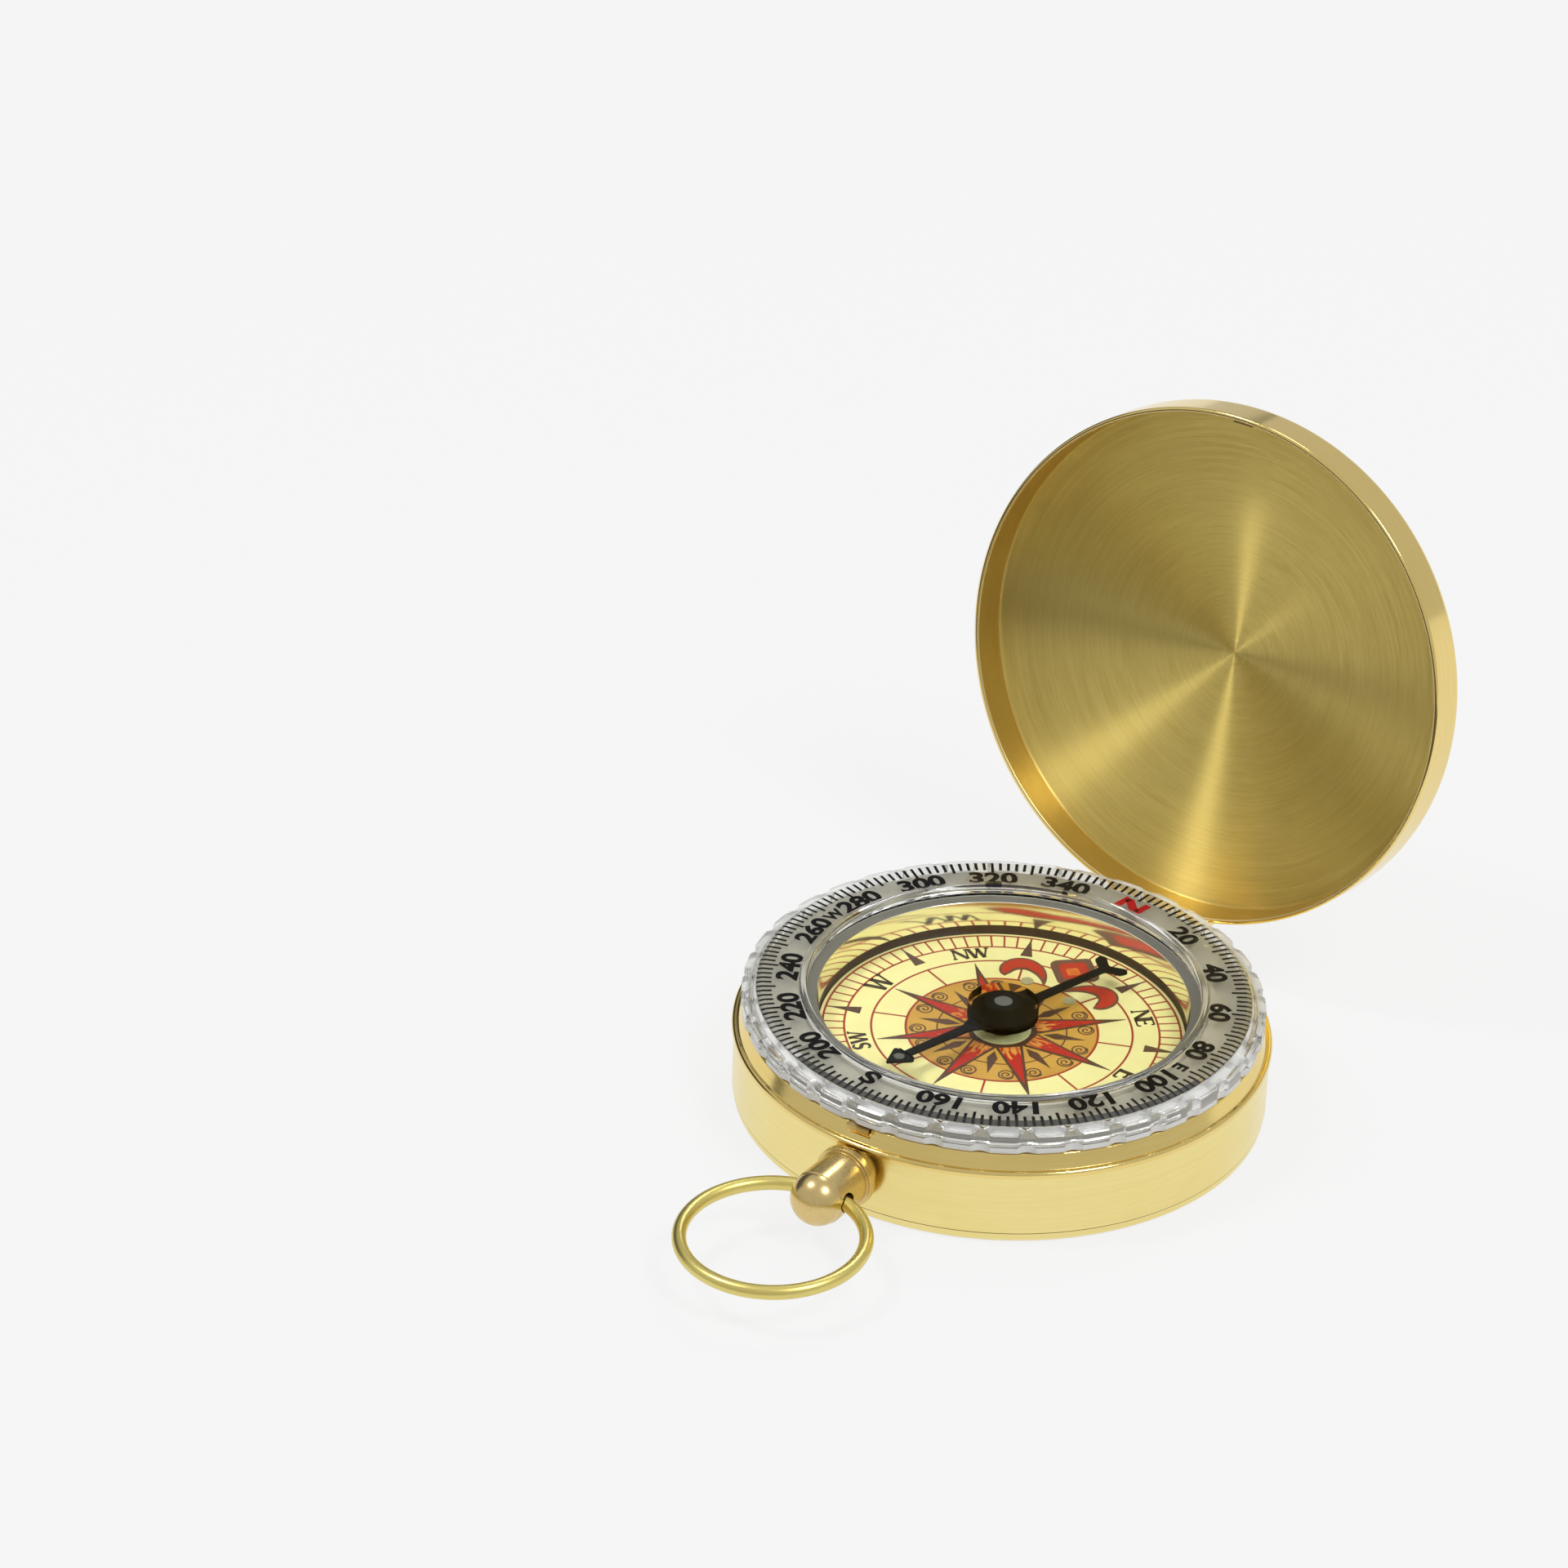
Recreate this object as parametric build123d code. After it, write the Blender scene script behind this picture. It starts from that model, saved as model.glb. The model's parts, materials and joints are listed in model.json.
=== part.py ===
from build123d import *
import math
import os

# Pocket compass with a hinged lid, a turning clear bezel, a push crown and a bow ring.
# Millimetres. The origin is the centre of the flat back, +Z is up through the dial,
# +Y points to the lid's hinge and the dial's north, and -Y to the crown.
# The lid is stored open, as the object is shown.

# Clearances
RUN = 0.05            # radial clearance of a turning or sliding fit
FIT = 0.02            # radial clearance of a cemented or pressed fit
AIR = 0.1             # axial clearance between pieces that pass each other

# Case band and back cover
CASE_R = 25.0         # bead, the widest turned edge of the case
BEAD_PROUD = 0.2      # how far the bead stands out of the wall
BAND_T = 0.7          # wall of the band
BACK_STEP = 0.12      # rim of the back cover inside the band's wall
BACK_T = 0.8          # plate of the back cover
BACK_H = 1.0          # height of the back cover's rim, where the band starts
BACK_EDGE = 0.4       # bevel under the rim
SNAP_H = 1.4          # height of the ring that snaps into the band
SNAP_T = 0.7          # wall of that ring
BEAD_Z = 7.0          # lower edge of the bead
BEAD_H = 0.65         # height of the bead
SHOULDER_STEP = 0.3   # foot of the shoulder inside the band's wall
SHOULDER_LEAN = 0.6   # how far the shoulder leans in
SHOULDER_H = 1.35
NECK_STEP = 1.1       # ledge between the shoulder and the neck that the bezel runs on
NECK_H = 1.2          # ledge to the top of the deck inside the neck
DECK_T = 0.7
DECK_W = 4.8          # neck to the bowl's mouth, under the window's edge

# Compass bowl, dial and crystal
BOWL_T = 0.8
MIRROR_STEP = 0.9     # polished wall inside the bowl's mouth, the crystal lies on the step
BOWL_FLOOR_T = 0.6
BOWL_FLANGE_W = 1.8   # flange under the deck
BOWL_FLANGE_T = 0.6
CRYSTAL_SEAT_W = 0.45 # ledge under the crystal's edge
CRYSTAL_T = 0.8
CRYSTAL_DROP = 0.2    # crystal's seat below the top of the deck
RIM_H = 0.6           # thin rim round the crystal
DIAL_T = 0.4
LUME_R = 2.7          # luminous disc at the dial's centre
LUME_T = 0.15
POST_R = 0.9          # stem of the pivot post
POST_FLANGE_R = 1.5
POST_FLANGE_T = 0.4
PIN_R = 0.25          # steel pivot pin
PIN_TIP_R = 0.03
PIN_CONE_H = 0.45
PIN_ROOT_DROP = 0.4   # how far the pin's root lies below the dial's face

# Needle
NEEDLE_LIFT = 1.7     # underside of the blade above the dial
NEEDLE_T = 0.25
NEEDLE_AZ = 196.0     # where the arrow points, clockwise from north
ARROW_GAP = 3.7       # arrow's tip to the bowl's mouth
ARROW_L = 2.2
ARROW_HALF = 1.45
SHAFT_HALF_HUB = 0.75
SHAFT_HALF_END = 0.5
TAIL_GAP = 4.25       # centres of the tail's round lobes to the bowl's mouth
TAIL_L = 1.15         # lobes' centres to where the tail divides
TAIL_SPREAD = 1.45
TAIL_LOBE_R = 0.5
BLADE_EYE_R = 2.95    # round middle of the blade
HUB_R = 2.9           # foot of the black cap over the middle
HUB_TOP_R = 1.9
HUB_H = 1.15
HUB_EDGE = 0.2
HUB_GAP = 0.25        # top of the cap below the crystal
BEARING_R = 3.3       # clear body round the cap, with a flange under the blade
BEARING_T = 0.25
BEARING_SLEEVE_R = 1.15
BEARING_SLEEVE_H = 0.5
BEARING_BORE_R = 0.6
JEWEL_R = 0.58
JEWEL_T = 0.5
JEWEL_LIFT = 0.35     # underside of the jewel above the blade's top
JEWEL_CUP_R = 0.38
JEWEL_CUP_H = 0.25
HUB_DOT_R = 0.85      # luminous dots on the cap and on the arrow
ARROW_DOT_R = 0.5
ARROW_DOT_IN = 0.55   # dot's centre before the back of the arrow
DOT_T = 0.08

# Bezel
BEZEL_SKIRT_T = 1.35  # bore to the crest of the grip bumps
BEZEL_LIP_STEP = 0.15 # rounded inner lip, the window's edge, outside the bowl's mouth
BEZEL_LIP_W = 0.8
BEZEL_LIP_RISE = 0.15 # how far the lip stands above the plate
BEZEL_PLATE_T = 0.5
BEZEL_RISE = 1.45     # top of the plate above the deck
BEZEL_SLOPE_W = 1.8   # where the flat top turns down to the grip
BEZEL_SLOPE_H = 0.75
GRIP_BUMPS = 36
GRIP_DEPTH = 0.5
GRIP_CUT_R = 1.05
GRIP_FROM_DEG = 7.5   # first hollow between the bumps, counted from +X
SCALE_T = 0.15        # printed ring under the plate
WIRE_R = 0.25         # spring wire that keeps the bezel on the neck
WIRE_OPEN_DEG = 30.0

# Lid and hinge
LID_PROUD = 0.1       # lid's wall outside the bead
LID_T = 0.5
LID_EDGE_R = 0.8
LID_CROWN = 2.6       # rise of the domed back
LID_GAP = 0.15        # lip above the bead when the lid is shut
LID_OPEN_DEG = 99.95
HINGE_DROP = 1.57     # hinge's axis below the bead
KNUCKLE_R = 1.1
HINGE_PIN_R = 0.5
HINGE_HALF = 7.0      # half length of the hinge
KNUCKLE_W = 2.5       # each case knuckle
LID_KNUCKLE_FROM = -0.9
LEAF_T = 0.6
LEAF_GAP = 0.15       # leaf to bead
LEAF_REACH = 2.8      # how far the leaf lies on the lid's wall
FOOT_H = 1.6          # foot of a case knuckle on the wall

# Crown, latch and bow
CROWN_DROP = 2.33     # crown's axis below the bead
PENDANT_L = 0.4       # pendant's front face before the band's wall
PRESS = 0.4           # travel of the crown
PRESS_GAP = 0.45      # open gap behind the crown's flange
FLANGE_R = 2.95
FLANGE_T = 0.7
CROWN_R = 2.6
CROWN_BODY_L = 4.0    # flange to the start of the domed end
DOME_L = 2.5          # at most the crown's radius
STEM_R = 1.0
STEM_END_R = 0.6
STEM_GRIP = 0.9       # length of stem inside the crown
SPRING_BORE_R = 1.95
SPRING_BORE_L = 1.8   # depth of the spring's bore in the crown
BOW_AT = 3.15         # flange's front to the axis of the bow's cross hole
BOW_R = 8.3           # mean radius of the bow ring
BOW_WIRE_R = 0.66
BOW_HOLE_R = 0.95
BOW_DROOP_DEG = 2.0   # how far the ring hangs below level, held by its stiff fit
LATCH_W = 2.2
LATCH_T = 0.6
LATCH_FOOT = 1.3      # latch plate below the stem's axis
LATCH_STOP_GAP = 0.05
NOSE_T = 0.35
NUT_R = 1.1
NUT_T = 0.6
LUG_W = 2.0
LUG_H = 0.3
LUG_IN = 0.3          # how far the lug stands inwards of the lid's wall

# Springs
LID_SPRING_WIRE_R = 0.15
LID_SPRING_R = 0.8
LID_SPRING_TURNS = 4
CROWN_SPRING_WIRE_R = 0.18
CROWN_SPRING_R = 1.45
CROWN_SPRING_TURNS = 2

# Places that follow from the sizes above
BAND_R = CASE_R - BEAD_PROUD
BAND_IN_R = BAND_R - BAND_T
BACK_R = BAND_R - BACK_STEP
BEAD_TOP = BEAD_Z + BEAD_H
SHOULDER_R = BAND_R - SHOULDER_STEP
SHOULDER_TOP_R = SHOULDER_R - SHOULDER_LEAN
SHOULDER_TOP_Z = BEAD_TOP + SHOULDER_H
NECK_R = SHOULDER_TOP_R - NECK_STEP
NECK_Z = SHOULDER_TOP_Z + NECK_H
DECK_UNDER = NECK_Z - DECK_T
BOWL_R = NECK_R - DECK_W
MIRROR_R = BOWL_R - MIRROR_STEP
BOWL_OUT_R = BOWL_R + BOWL_T
CRYSTAL_R = BOWL_R + CRYSTAL_SEAT_W
CRYSTAL_Z = NECK_Z - CRYSTAL_DROP
RIM_Z = CRYSTAL_Z + RIM_H
BOWL_FLOOR_Z = CRYSTAL_Z - HUB_GAP - HUB_H - NEEDLE_T - NEEDLE_LIFT - DIAL_T
DIAL_TOP = BOWL_FLOOR_Z + DIAL_T
LUME_TOP = DIAL_TOP + LUME_T
POST_TOP = LUME_TOP + POST_FLANGE_T
NEEDLE_Z = DIAL_TOP + NEEDLE_LIFT
BLADE_TOP = NEEDLE_Z + NEEDLE_T
ARROW_TIP = BOWL_R - ARROW_GAP
ARROW_BACK = ARROW_TIP - ARROW_L
ARROW_DOT_AT = ARROW_BACK + ARROW_DOT_IN
TAIL_LOBE = BOWL_R - TAIL_GAP
TAIL_FORK = TAIL_LOBE - TAIL_L
HUB_TOP = BLADE_TOP + HUB_H
JEWEL_Z = BLADE_TOP + JEWEL_LIFT
PIN_TIP_Z = JEWEL_Z + JEWEL_CUP_H - RUN
BEZEL_TOP_Z = NECK_Z + BEZEL_RISE
PLATE_UNDER = BEZEL_TOP_Z - BEZEL_PLATE_T
BEZEL_BORE = NECK_R + RUN
BEZEL_R = BEZEL_BORE + BEZEL_SKIRT_T
BEZEL_FLAT_R = BEZEL_R - BEZEL_SLOPE_W
BEZEL_CREST_Z = BEZEL_TOP_Z - BEZEL_SLOPE_H
BEZEL_LIP_R = BOWL_R + BEZEL_LIP_STEP
WIRE_Z = (SHOULDER_TOP_Z + NECK_Z) / 2
BEZEL_FOOT_Z = SHOULDER_TOP_Z + AIR
LIP_OUT_R = BEZEL_LIP_R + BEZEL_LIP_W
LIP_UNDER = CRYSTAL_Z + CRYSTAL_T + AIR
LIP_Z = BEAD_TOP + LID_GAP
LID_R = CASE_R + LID_PROUD
LID_IN_R = LID_R - LID_T
LID_EDGE_Z = BEZEL_TOP_Z + AIR + LID_T
HINGE_Y = CASE_R + KNUCKLE_R
HINGE_Z = BEAD_Z - HINGE_DROP
HINGE_AXIS = Axis((0, HINGE_Y, HINGE_Z), (1, 0, 0))
CROWN_Z = BEAD_Z - CROWN_DROP
PENDANT_R = CROWN_DROP - RUN
WALL_Y = -BAND_R
PENDANT_Y = WALL_Y - PENDANT_L
FLANGE_Y = PENDANT_Y - PRESS_GAP
BODY_Y = FLANGE_Y - FLANGE_T
DOME_Y = BODY_Y - CROWN_BODY_L
BOW_Y = BODY_Y - BOW_AT
SPRING_SEAT_Y = FLANGE_Y - SPRING_BORE_L
LATCH_Y = -BAND_IN_R + LATCH_STOP_GAP
NOSE_TOP = SHOULDER_TOP_Z
NOSE_OUT = LID_IN_R - AIR


def turned(edges, plane=Plane.XZ, axis=Axis.Z):
    """Solid of revolution of a closed outline given as (radius, height) edges."""
    return revolve(plane * make_face(edges), axis)


def outline(*points):
    """Straight outline through (radius, height) points, closed."""
    return Polyline(*points, close=True)


def cap_height(base_r, rise, radius):
    """Height above its base of a spherical cap, at a distance from its middle."""
    ball = (base_r ** 2 + rise ** 2) / (2 * rise)
    return math.sqrt(ball ** 2 - radius ** 2) - ball + rise


def tube(outer, inner, low, high):
    """Plain ring between two radii and two heights."""
    return turned(outline((inner, low), (outer, low), (outer, high), (inner, high)))


def disc(radius, low, high):
    """Plain disc between two heights."""
    return Pos(0, 0, low) * Cylinder(radius, high - low, align=(Align.CENTER, Align.CENTER, Align.MIN))


def along_y(radius, y_from, y_to, z):
    """Round bar parallel to Y between two places."""
    length = y_to - y_from
    bar = Cylinder(radius, length, align=(Align.CENTER, Align.CENTER, Align.MIN))
    return Pos(0, y_from, z) * Rot(-90, 0, 0) * bar


def along_x(radius, x_from, x_to, y, z):
    """Round bar parallel to X between two places."""
    length = x_to - x_from
    bar = Cylinder(radius, length, align=(Align.CENTER, Align.CENTER, Align.MIN))
    return Pos(x_from, y, z) * Rot(0, 90, 0) * bar


def block(x, y, z):
    """Box between two places on each axis, each given as (low, high)."""
    size = Box(x[1] - x[0], y[1] - y[0], z[1] - z[0])
    return Pos((x[0] + x[1]) / 2, (y[0] + y[1]) / 2, (z[0] + z[1]) / 2) * size


def coil(name, radius, pitch, turns, wire_r):
    """Round wire wound along +Z from z = 0: quarter-turn biarcs on the helix, with a straight run
    of one wire diameter at each end."""
    def place(angle):
        return Vector(radius * math.cos(angle), radius * math.sin(angle), pitch * angle / math.tau)

    def heading(angle):
        return Vector(-radius * math.sin(angle), radius * math.cos(angle), pitch / math.tau).normalized()

    steps = 4 * turns
    angles = [math.tau * turns * i / steps for i in range(steps + 1)]
    run = 2 * wire_r
    start = place(0) - heading(0) * run
    finish = place(angles[-1]) + heading(angles[-1]) * run
    edges = [Edge.make_line(start, place(0))]
    for low, high in zip(angles, angles[1:]):
        p1, p2 = place(low), place(high)
        t1, t2 = heading(low), heading(high)
        chord = p2 - p1
        both = t1 + t2
        spread = 2 * (1 - t1.dot(t2))
        reach = (-chord.dot(both) + math.sqrt(chord.dot(both) ** 2 + spread * chord.dot(chord))) / spread
        middle = (p1 + p2 + (t1 - t2) * reach) * 0.5
        first = Edge.make_tangent_arc(p1, t1, middle)
        edges += [first, Edge.make_tangent_arc(middle, first % 1, p2)]
    edges.append(Edge.make_line(place(angles[-1]), finish))
    path = Wire(edges)
    ring = Plane(origin=start, z_dir=heading(0)) * Circle(wire_r)
    spring = sweep(ring, path=path)
    samples = [place(math.tau * turns * i / (72 * turns)) for i in range(72 * turns + 1)]
    gap = min((a - b).length for i, a in enumerate(samples) for b in samples[i + 36:]) - 2 * wire_r
    print(name, "least gap between turns", round(gap, 3), "mm, volume against section times length",
          round(spring.volume / (math.pi * wire_r ** 2 * path.length), 4))
    return spring


def back_cover():
    """Flat pressed back with a bevelled rim and a ring that snaps into the band."""
    snap_r = BAND_IN_R - FIT
    snap_in = snap_r - SNAP_T
    snap_top = BACK_H + SNAP_H
    return turned(outline(
        (0, 0), (BACK_R - BACK_EDGE, 0), (BACK_R, BACK_EDGE), (BACK_R, BACK_H), (snap_r, BACK_H),
        (snap_r, snap_top), (snap_in, snap_top), (snap_in, BACK_T), (0, BACK_T)))


def case_band():
    """Turned band: straight wall, round bead, sloping shoulder, neck and deck."""
    deck_hole = BOWL_OUT_R + FIT
    edges = Polyline((BAND_IN_R, BACK_H), (BAND_R, BACK_H), (BAND_R, BEAD_Z))
    edges += ThreePointArc((BAND_R, BEAD_Z), (CASE_R, BEAD_Z + BEAD_H / 2), (BAND_R, BEAD_TOP))
    edges += Polyline(
        (BAND_R, BEAD_TOP), (SHOULDER_R, BEAD_TOP), (SHOULDER_TOP_R, SHOULDER_TOP_Z),
        (NECK_R, SHOULDER_TOP_Z), (NECK_R, NECK_Z), (deck_hole, NECK_Z), (deck_hole, DECK_UNDER),
        (NECK_R - BAND_T, DECK_UNDER), (NECK_R - BAND_T, SHOULDER_TOP_Z - BAND_T),
        (SHOULDER_TOP_R - BAND_T, SHOULDER_TOP_Z - BAND_T), (BAND_IN_R, BEAD_Z), (BAND_IN_R, BACK_H))
    band = turned(edges)
    band -= tube(NECK_R + AIR, NECK_R - WIRE_R - RUN, WIRE_Z - WIRE_R - RUN, WIRE_Z + WIRE_R + RUN)
    band -= along_y(STEM_R + RUN, -CASE_R, -BAND_IN_R + BAND_T, CROWN_Z)
    half = LATCH_W / 2 + AIR
    slot_in = LATCH_Y + LATCH_T + PRESS + AIR
    band -= block((-half, half), (LATCH_Y - AIR, slot_in), (BEAD_Z - AIR, SHOULDER_TOP_Z + AIR))
    band -= block((-half, half), (-CASE_R, slot_in), (NOSE_TOP - NOSE_T - AIR, SHOULDER_TOP_Z + AIR))
    return band


def compass_bowl():
    """Polished bowl: floor, wall with a seat for the crystal, and a flange under the deck."""
    flange_r = BOWL_OUT_R + BOWL_FLANGE_W
    flange_z = DECK_UNDER - BOWL_FLANGE_T
    seat_r = CRYSTAL_R + FIT
    under = BOWL_FLOOR_Z - BOWL_FLOOR_T
    bowl = turned(outline(
        (0, under), (BOWL_OUT_R, under), (BOWL_OUT_R, flange_z), (flange_r, flange_z),
        (flange_r, DECK_UNDER), (BOWL_OUT_R, DECK_UNDER), (BOWL_OUT_R, RIM_Z), (seat_r, RIM_Z),
        (seat_r, CRYSTAL_Z), (MIRROR_R, CRYSTAL_Z), (MIRROR_R, BOWL_FLOOR_Z), (0, BOWL_FLOOR_Z)))
    return bowl - disc(POST_R + FIT, under - AIR, BOWL_FLOOR_Z + AIR)


def dial_plate():
    """Printed dial lying on the bowl's floor."""
    return tube(MIRROR_R - AIR, POST_R + FIT, BOWL_FLOOR_Z, DIAL_TOP)


def lume_disc():
    """Luminous disc round the pivot."""
    return tube(LUME_R, POST_R + FIT, DIAL_TOP, LUME_TOP)


def pivot_post():
    """Post through the dial and the bowl's floor, staked below and flanged above."""
    under = BOWL_FLOOR_Z - BOWL_FLOOR_T
    bore = PIN_R + FIT
    root = DIAL_TOP - PIN_ROOT_DROP
    return turned(outline(
        (0, under - POST_FLANGE_T), (POST_FLANGE_R, under - POST_FLANGE_T), (POST_FLANGE_R, under),
        (POST_R, under), (POST_R, LUME_TOP), (POST_FLANGE_R, LUME_TOP), (POST_FLANGE_R, POST_TOP),
        (bore, POST_TOP), (bore, root), (0, root)))


def pivot_pin():
    """Steel pin with a fine conical tip."""
    root = DIAL_TOP - PIN_ROOT_DROP
    return turned(outline(
        (0, root), (PIN_R, root), (PIN_R, PIN_TIP_Z - PIN_CONE_H), (PIN_TIP_R, PIN_TIP_Z), (0, PIN_TIP_Z)))


def crystal():
    """Clear round crystal seated in the bowl's rim."""
    return disc(CRYSTAL_R, CRYSTAL_Z, CRYSTAL_Z + CRYSTAL_T)


def bezel_spring_wire():
    """Open ring of round wire, half in the neck's groove and half in the bezel's."""
    ring = Plane.XZ * Pos(NECK_R, WIRE_Z) * Circle(WIRE_R)
    wire = revolve(ring, Axis.Z, revolution_arc=360 - WIRE_OPEN_DEG)
    return Rot(0, 0, WIRE_OPEN_DEG / 2) * wire


def bezel_ring():
    """Clear ring: rounded inner lip, flat plate, and a skirt with grip bumps that runs on the neck."""
    lip_top = BEZEL_TOP_Z + BEZEL_LIP_RISE
    lip_mid = BEZEL_LIP_R + BEZEL_LIP_W / 2
    lip_low = BEZEL_TOP_Z - BEZEL_LIP_RISE
    edges = Line((BEZEL_LIP_R, LIP_UNDER), (BEZEL_LIP_R, lip_low))
    edges += ThreePointArc((BEZEL_LIP_R, lip_low), (lip_mid, lip_top), (LIP_OUT_R, BEZEL_TOP_Z))
    edges += Polyline(
        (LIP_OUT_R, BEZEL_TOP_Z), (BEZEL_FLAT_R, BEZEL_TOP_Z), (BEZEL_R, BEZEL_CREST_Z),
        (BEZEL_R, BEZEL_FOOT_Z), (BEZEL_BORE, BEZEL_FOOT_Z), (BEZEL_BORE, PLATE_UNDER),
        (LIP_OUT_R, PLATE_UNDER), (LIP_OUT_R, LIP_UNDER), (BEZEL_LIP_R, LIP_UNDER))
    ring = turned(edges)
    ring -= tube(NECK_R + WIRE_R + AIR, NECK_R, WIRE_Z - WIRE_R - RUN, WIRE_Z + WIRE_R + RUN)
    cutter = Pos(BEZEL_R + GRIP_CUT_R - GRIP_DEPTH, 0) * disc(GRIP_CUT_R, BEZEL_FOOT_Z - AIR, BEZEL_TOP_Z)
    return ring - [Rot(0, 0, GRIP_FROM_DEG + 360 * i / GRIP_BUMPS) * cutter for i in range(GRIP_BUMPS)]


def bezel_scale_ring():
    """Printed degree ring cemented under the bezel's plate."""
    return tube(BEZEL_BORE - FIT, LIP_OUT_R + RUN, PLATE_UNDER - SCALE_T, PLATE_UNDER)


def turn_needle(shape):
    """Turn a needle piece drawn with its arrow towards +Y to where the arrow points."""
    return Rot(0, 0, -NEEDLE_AZ) * shape


def needle_blade():
    """Flat blade: arrowhead, tapering shaft, round middle and forked tail."""
    arrow = make_face(outline((0, ARROW_TIP), (ARROW_HALF, ARROW_BACK), (-ARROW_HALF, ARROW_BACK)))
    shaft = make_face(outline(
        (SHAFT_HALF_END, ARROW_BACK), (SHAFT_HALF_HUB, 0), (SHAFT_HALF_END, -TAIL_FORK),
        (-SHAFT_HALF_END, -TAIL_FORK), (-SHAFT_HALF_HUB, 0), (-SHAFT_HALF_END, ARROW_BACK)))
    fork = Pos(0, -TAIL_FORK) * Circle(SHAFT_HALF_END)
    flat = arrow + shaft + Circle(BLADE_EYE_R) + fork
    for side in (-1, 1):
        lobe = Pos(side * TAIL_SPREAD, -TAIL_LOBE) * Circle(TAIL_LOBE_R)
        flat += lobe
        flat += make_hull((lobe + fork).edges())
    flat -= Circle(BEARING_SLEEVE_R + FIT)
    return turn_needle(Pos(0, 0, NEEDLE_Z) * extrude(flat, NEEDLE_T))


def needle_hub():
    """Black cap that narrows to its top, bored for the jewel."""
    cap = turned(outline(
        (0, BLADE_TOP), (HUB_R, BLADE_TOP), (HUB_TOP_R, HUB_TOP - HUB_EDGE), (HUB_TOP_R - HUB_EDGE, HUB_TOP),
        (0, HUB_TOP)))
    return cap - disc(JEWEL_R + FIT, BLADE_TOP, JEWEL_Z + JEWEL_T)


def needle_bearing():
    """Clear bearing body: a short sleeve, a flange under the blade, a boss in its eye and a rim round
    the cap, slotted where the blade comes out."""
    sleeve_z = NEEDLE_Z - BEARING_T - BEARING_SLEEVE_H
    rim_r = BLADE_EYE_R + RUN
    body = turned(outline(
        (BEARING_BORE_R, sleeve_z), (BEARING_SLEEVE_R, sleeve_z), (BEARING_SLEEVE_R, NEEDLE_Z - BEARING_T),
        (BEARING_R, NEEDLE_Z - BEARING_T), (BEARING_R, HUB_TOP), (HUB_TOP_R + AIR, HUB_TOP),
        (rim_r, BLADE_TOP), (rim_r, NEEDLE_Z), (BEARING_SLEEVE_R, NEEDLE_Z),
        (BEARING_SLEEVE_R, BLADE_TOP), (BEARING_BORE_R, BLADE_TOP)))
    return body - needle_blade()


def needle_jewel():
    """Cup jewel that rides on the pin's tip."""
    return turned(outline(
        (JEWEL_CUP_R, JEWEL_Z), (JEWEL_R, JEWEL_Z), (JEWEL_R, JEWEL_Z + JEWEL_T), (0, JEWEL_Z + JEWEL_T),
        (0, JEWEL_Z + JEWEL_CUP_H)))


def needle_lume_dots():
    """Luminous dots on the cap and on the arrowhead."""
    arrow_dot = Pos(0, ARROW_DOT_AT) * disc(ARROW_DOT_R, BLADE_TOP, BLADE_TOP + DOT_T)
    return [disc(HUB_DOT_R, HUB_TOP, HUB_TOP + DOT_T), turn_needle(arrow_dot)]


def open_lid(shape):
    """Swing a lid piece drawn shut back to where the lid stands open."""
    return shape.rotate(HINGE_AXIS, -LID_OPEN_DEG)


def lid_shell():
    """Pressed lid: thin wall, rounded edge and a domed back."""
    inner_edge = LID_EDGE_R - LID_T
    bend = math.sqrt(0.5)
    outer_turn = (LID_R - LID_EDGE_R * (1 - bend), LID_EDGE_Z - LID_EDGE_R * (1 - bend))
    inner_turn = (LID_IN_R - inner_edge * (1 - bend), LID_EDGE_Z - LID_T - inner_edge * (1 - bend))
    rim_r = LID_R - LID_EDGE_R
    half_z = LID_EDGE_Z + cap_height(rim_r, LID_CROWN, rim_r / 2)
    top_z = LID_EDGE_Z + LID_CROWN
    bend_z = LID_EDGE_Z - LID_EDGE_R
    edges = Line((0, top_z - LID_T), (0, top_z))
    edges += ThreePointArc((0, top_z), (rim_r / 2, half_z), (rim_r, LID_EDGE_Z))
    edges += ThreePointArc((rim_r, LID_EDGE_Z), outer_turn, (LID_R, bend_z))
    edges += Polyline((LID_R, bend_z), (LID_R, LIP_Z), (LID_IN_R, LIP_Z), (LID_IN_R, bend_z))
    edges += ThreePointArc((LID_IN_R, bend_z), inner_turn, (rim_r, LID_EDGE_Z - LID_T))
    edges += ThreePointArc((rim_r, LID_EDGE_Z - LID_T), (rim_r / 2, half_z - LID_T), (0, top_z - LID_T))
    return open_lid(turned(edges))


def lid_catch_lug():
    """Small lug inside the lid's wall that the latch holds."""
    low = NOSE_TOP - NOSE_T - RUN - LUG_H
    lug = tube(LID_IN_R, LID_IN_R - LUG_IN, low, low + LUG_H)
    lug &= block((-LUG_W / 2, LUG_W / 2), (-CASE_R, 0), (low, low + LUG_H))
    return open_lid(lug)


def lid_hinge_leaf():
    """Leaf brazed to the lid's wall, with the middle knuckle rolled on its lower edge."""
    span = (LID_KNUCKLE_FROM, HINGE_HALF - KNUCKLE_W - AIR)
    inner_y = CASE_R + LEAF_GAP
    leaf = block(span, (inner_y, inner_y + LEAF_T), (HINGE_Z, LIP_Z + LEAF_REACH))
    leaf += block(span, (LID_IN_R, inner_y + LEAF_T), (LIP_Z, LIP_Z + LEAF_REACH))
    leaf -= disc(LID_R, LIP_Z - AIR, LIP_Z + LEAF_REACH + AIR)
    leaf += along_x(KNUCKLE_R, span[0], span[1], HINGE_Y, HINGE_Z)
    leaf -= along_x(HINGE_PIN_R + RUN, span[0], span[1], HINGE_Y, HINGE_Z)
    return open_lid(leaf)


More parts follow.
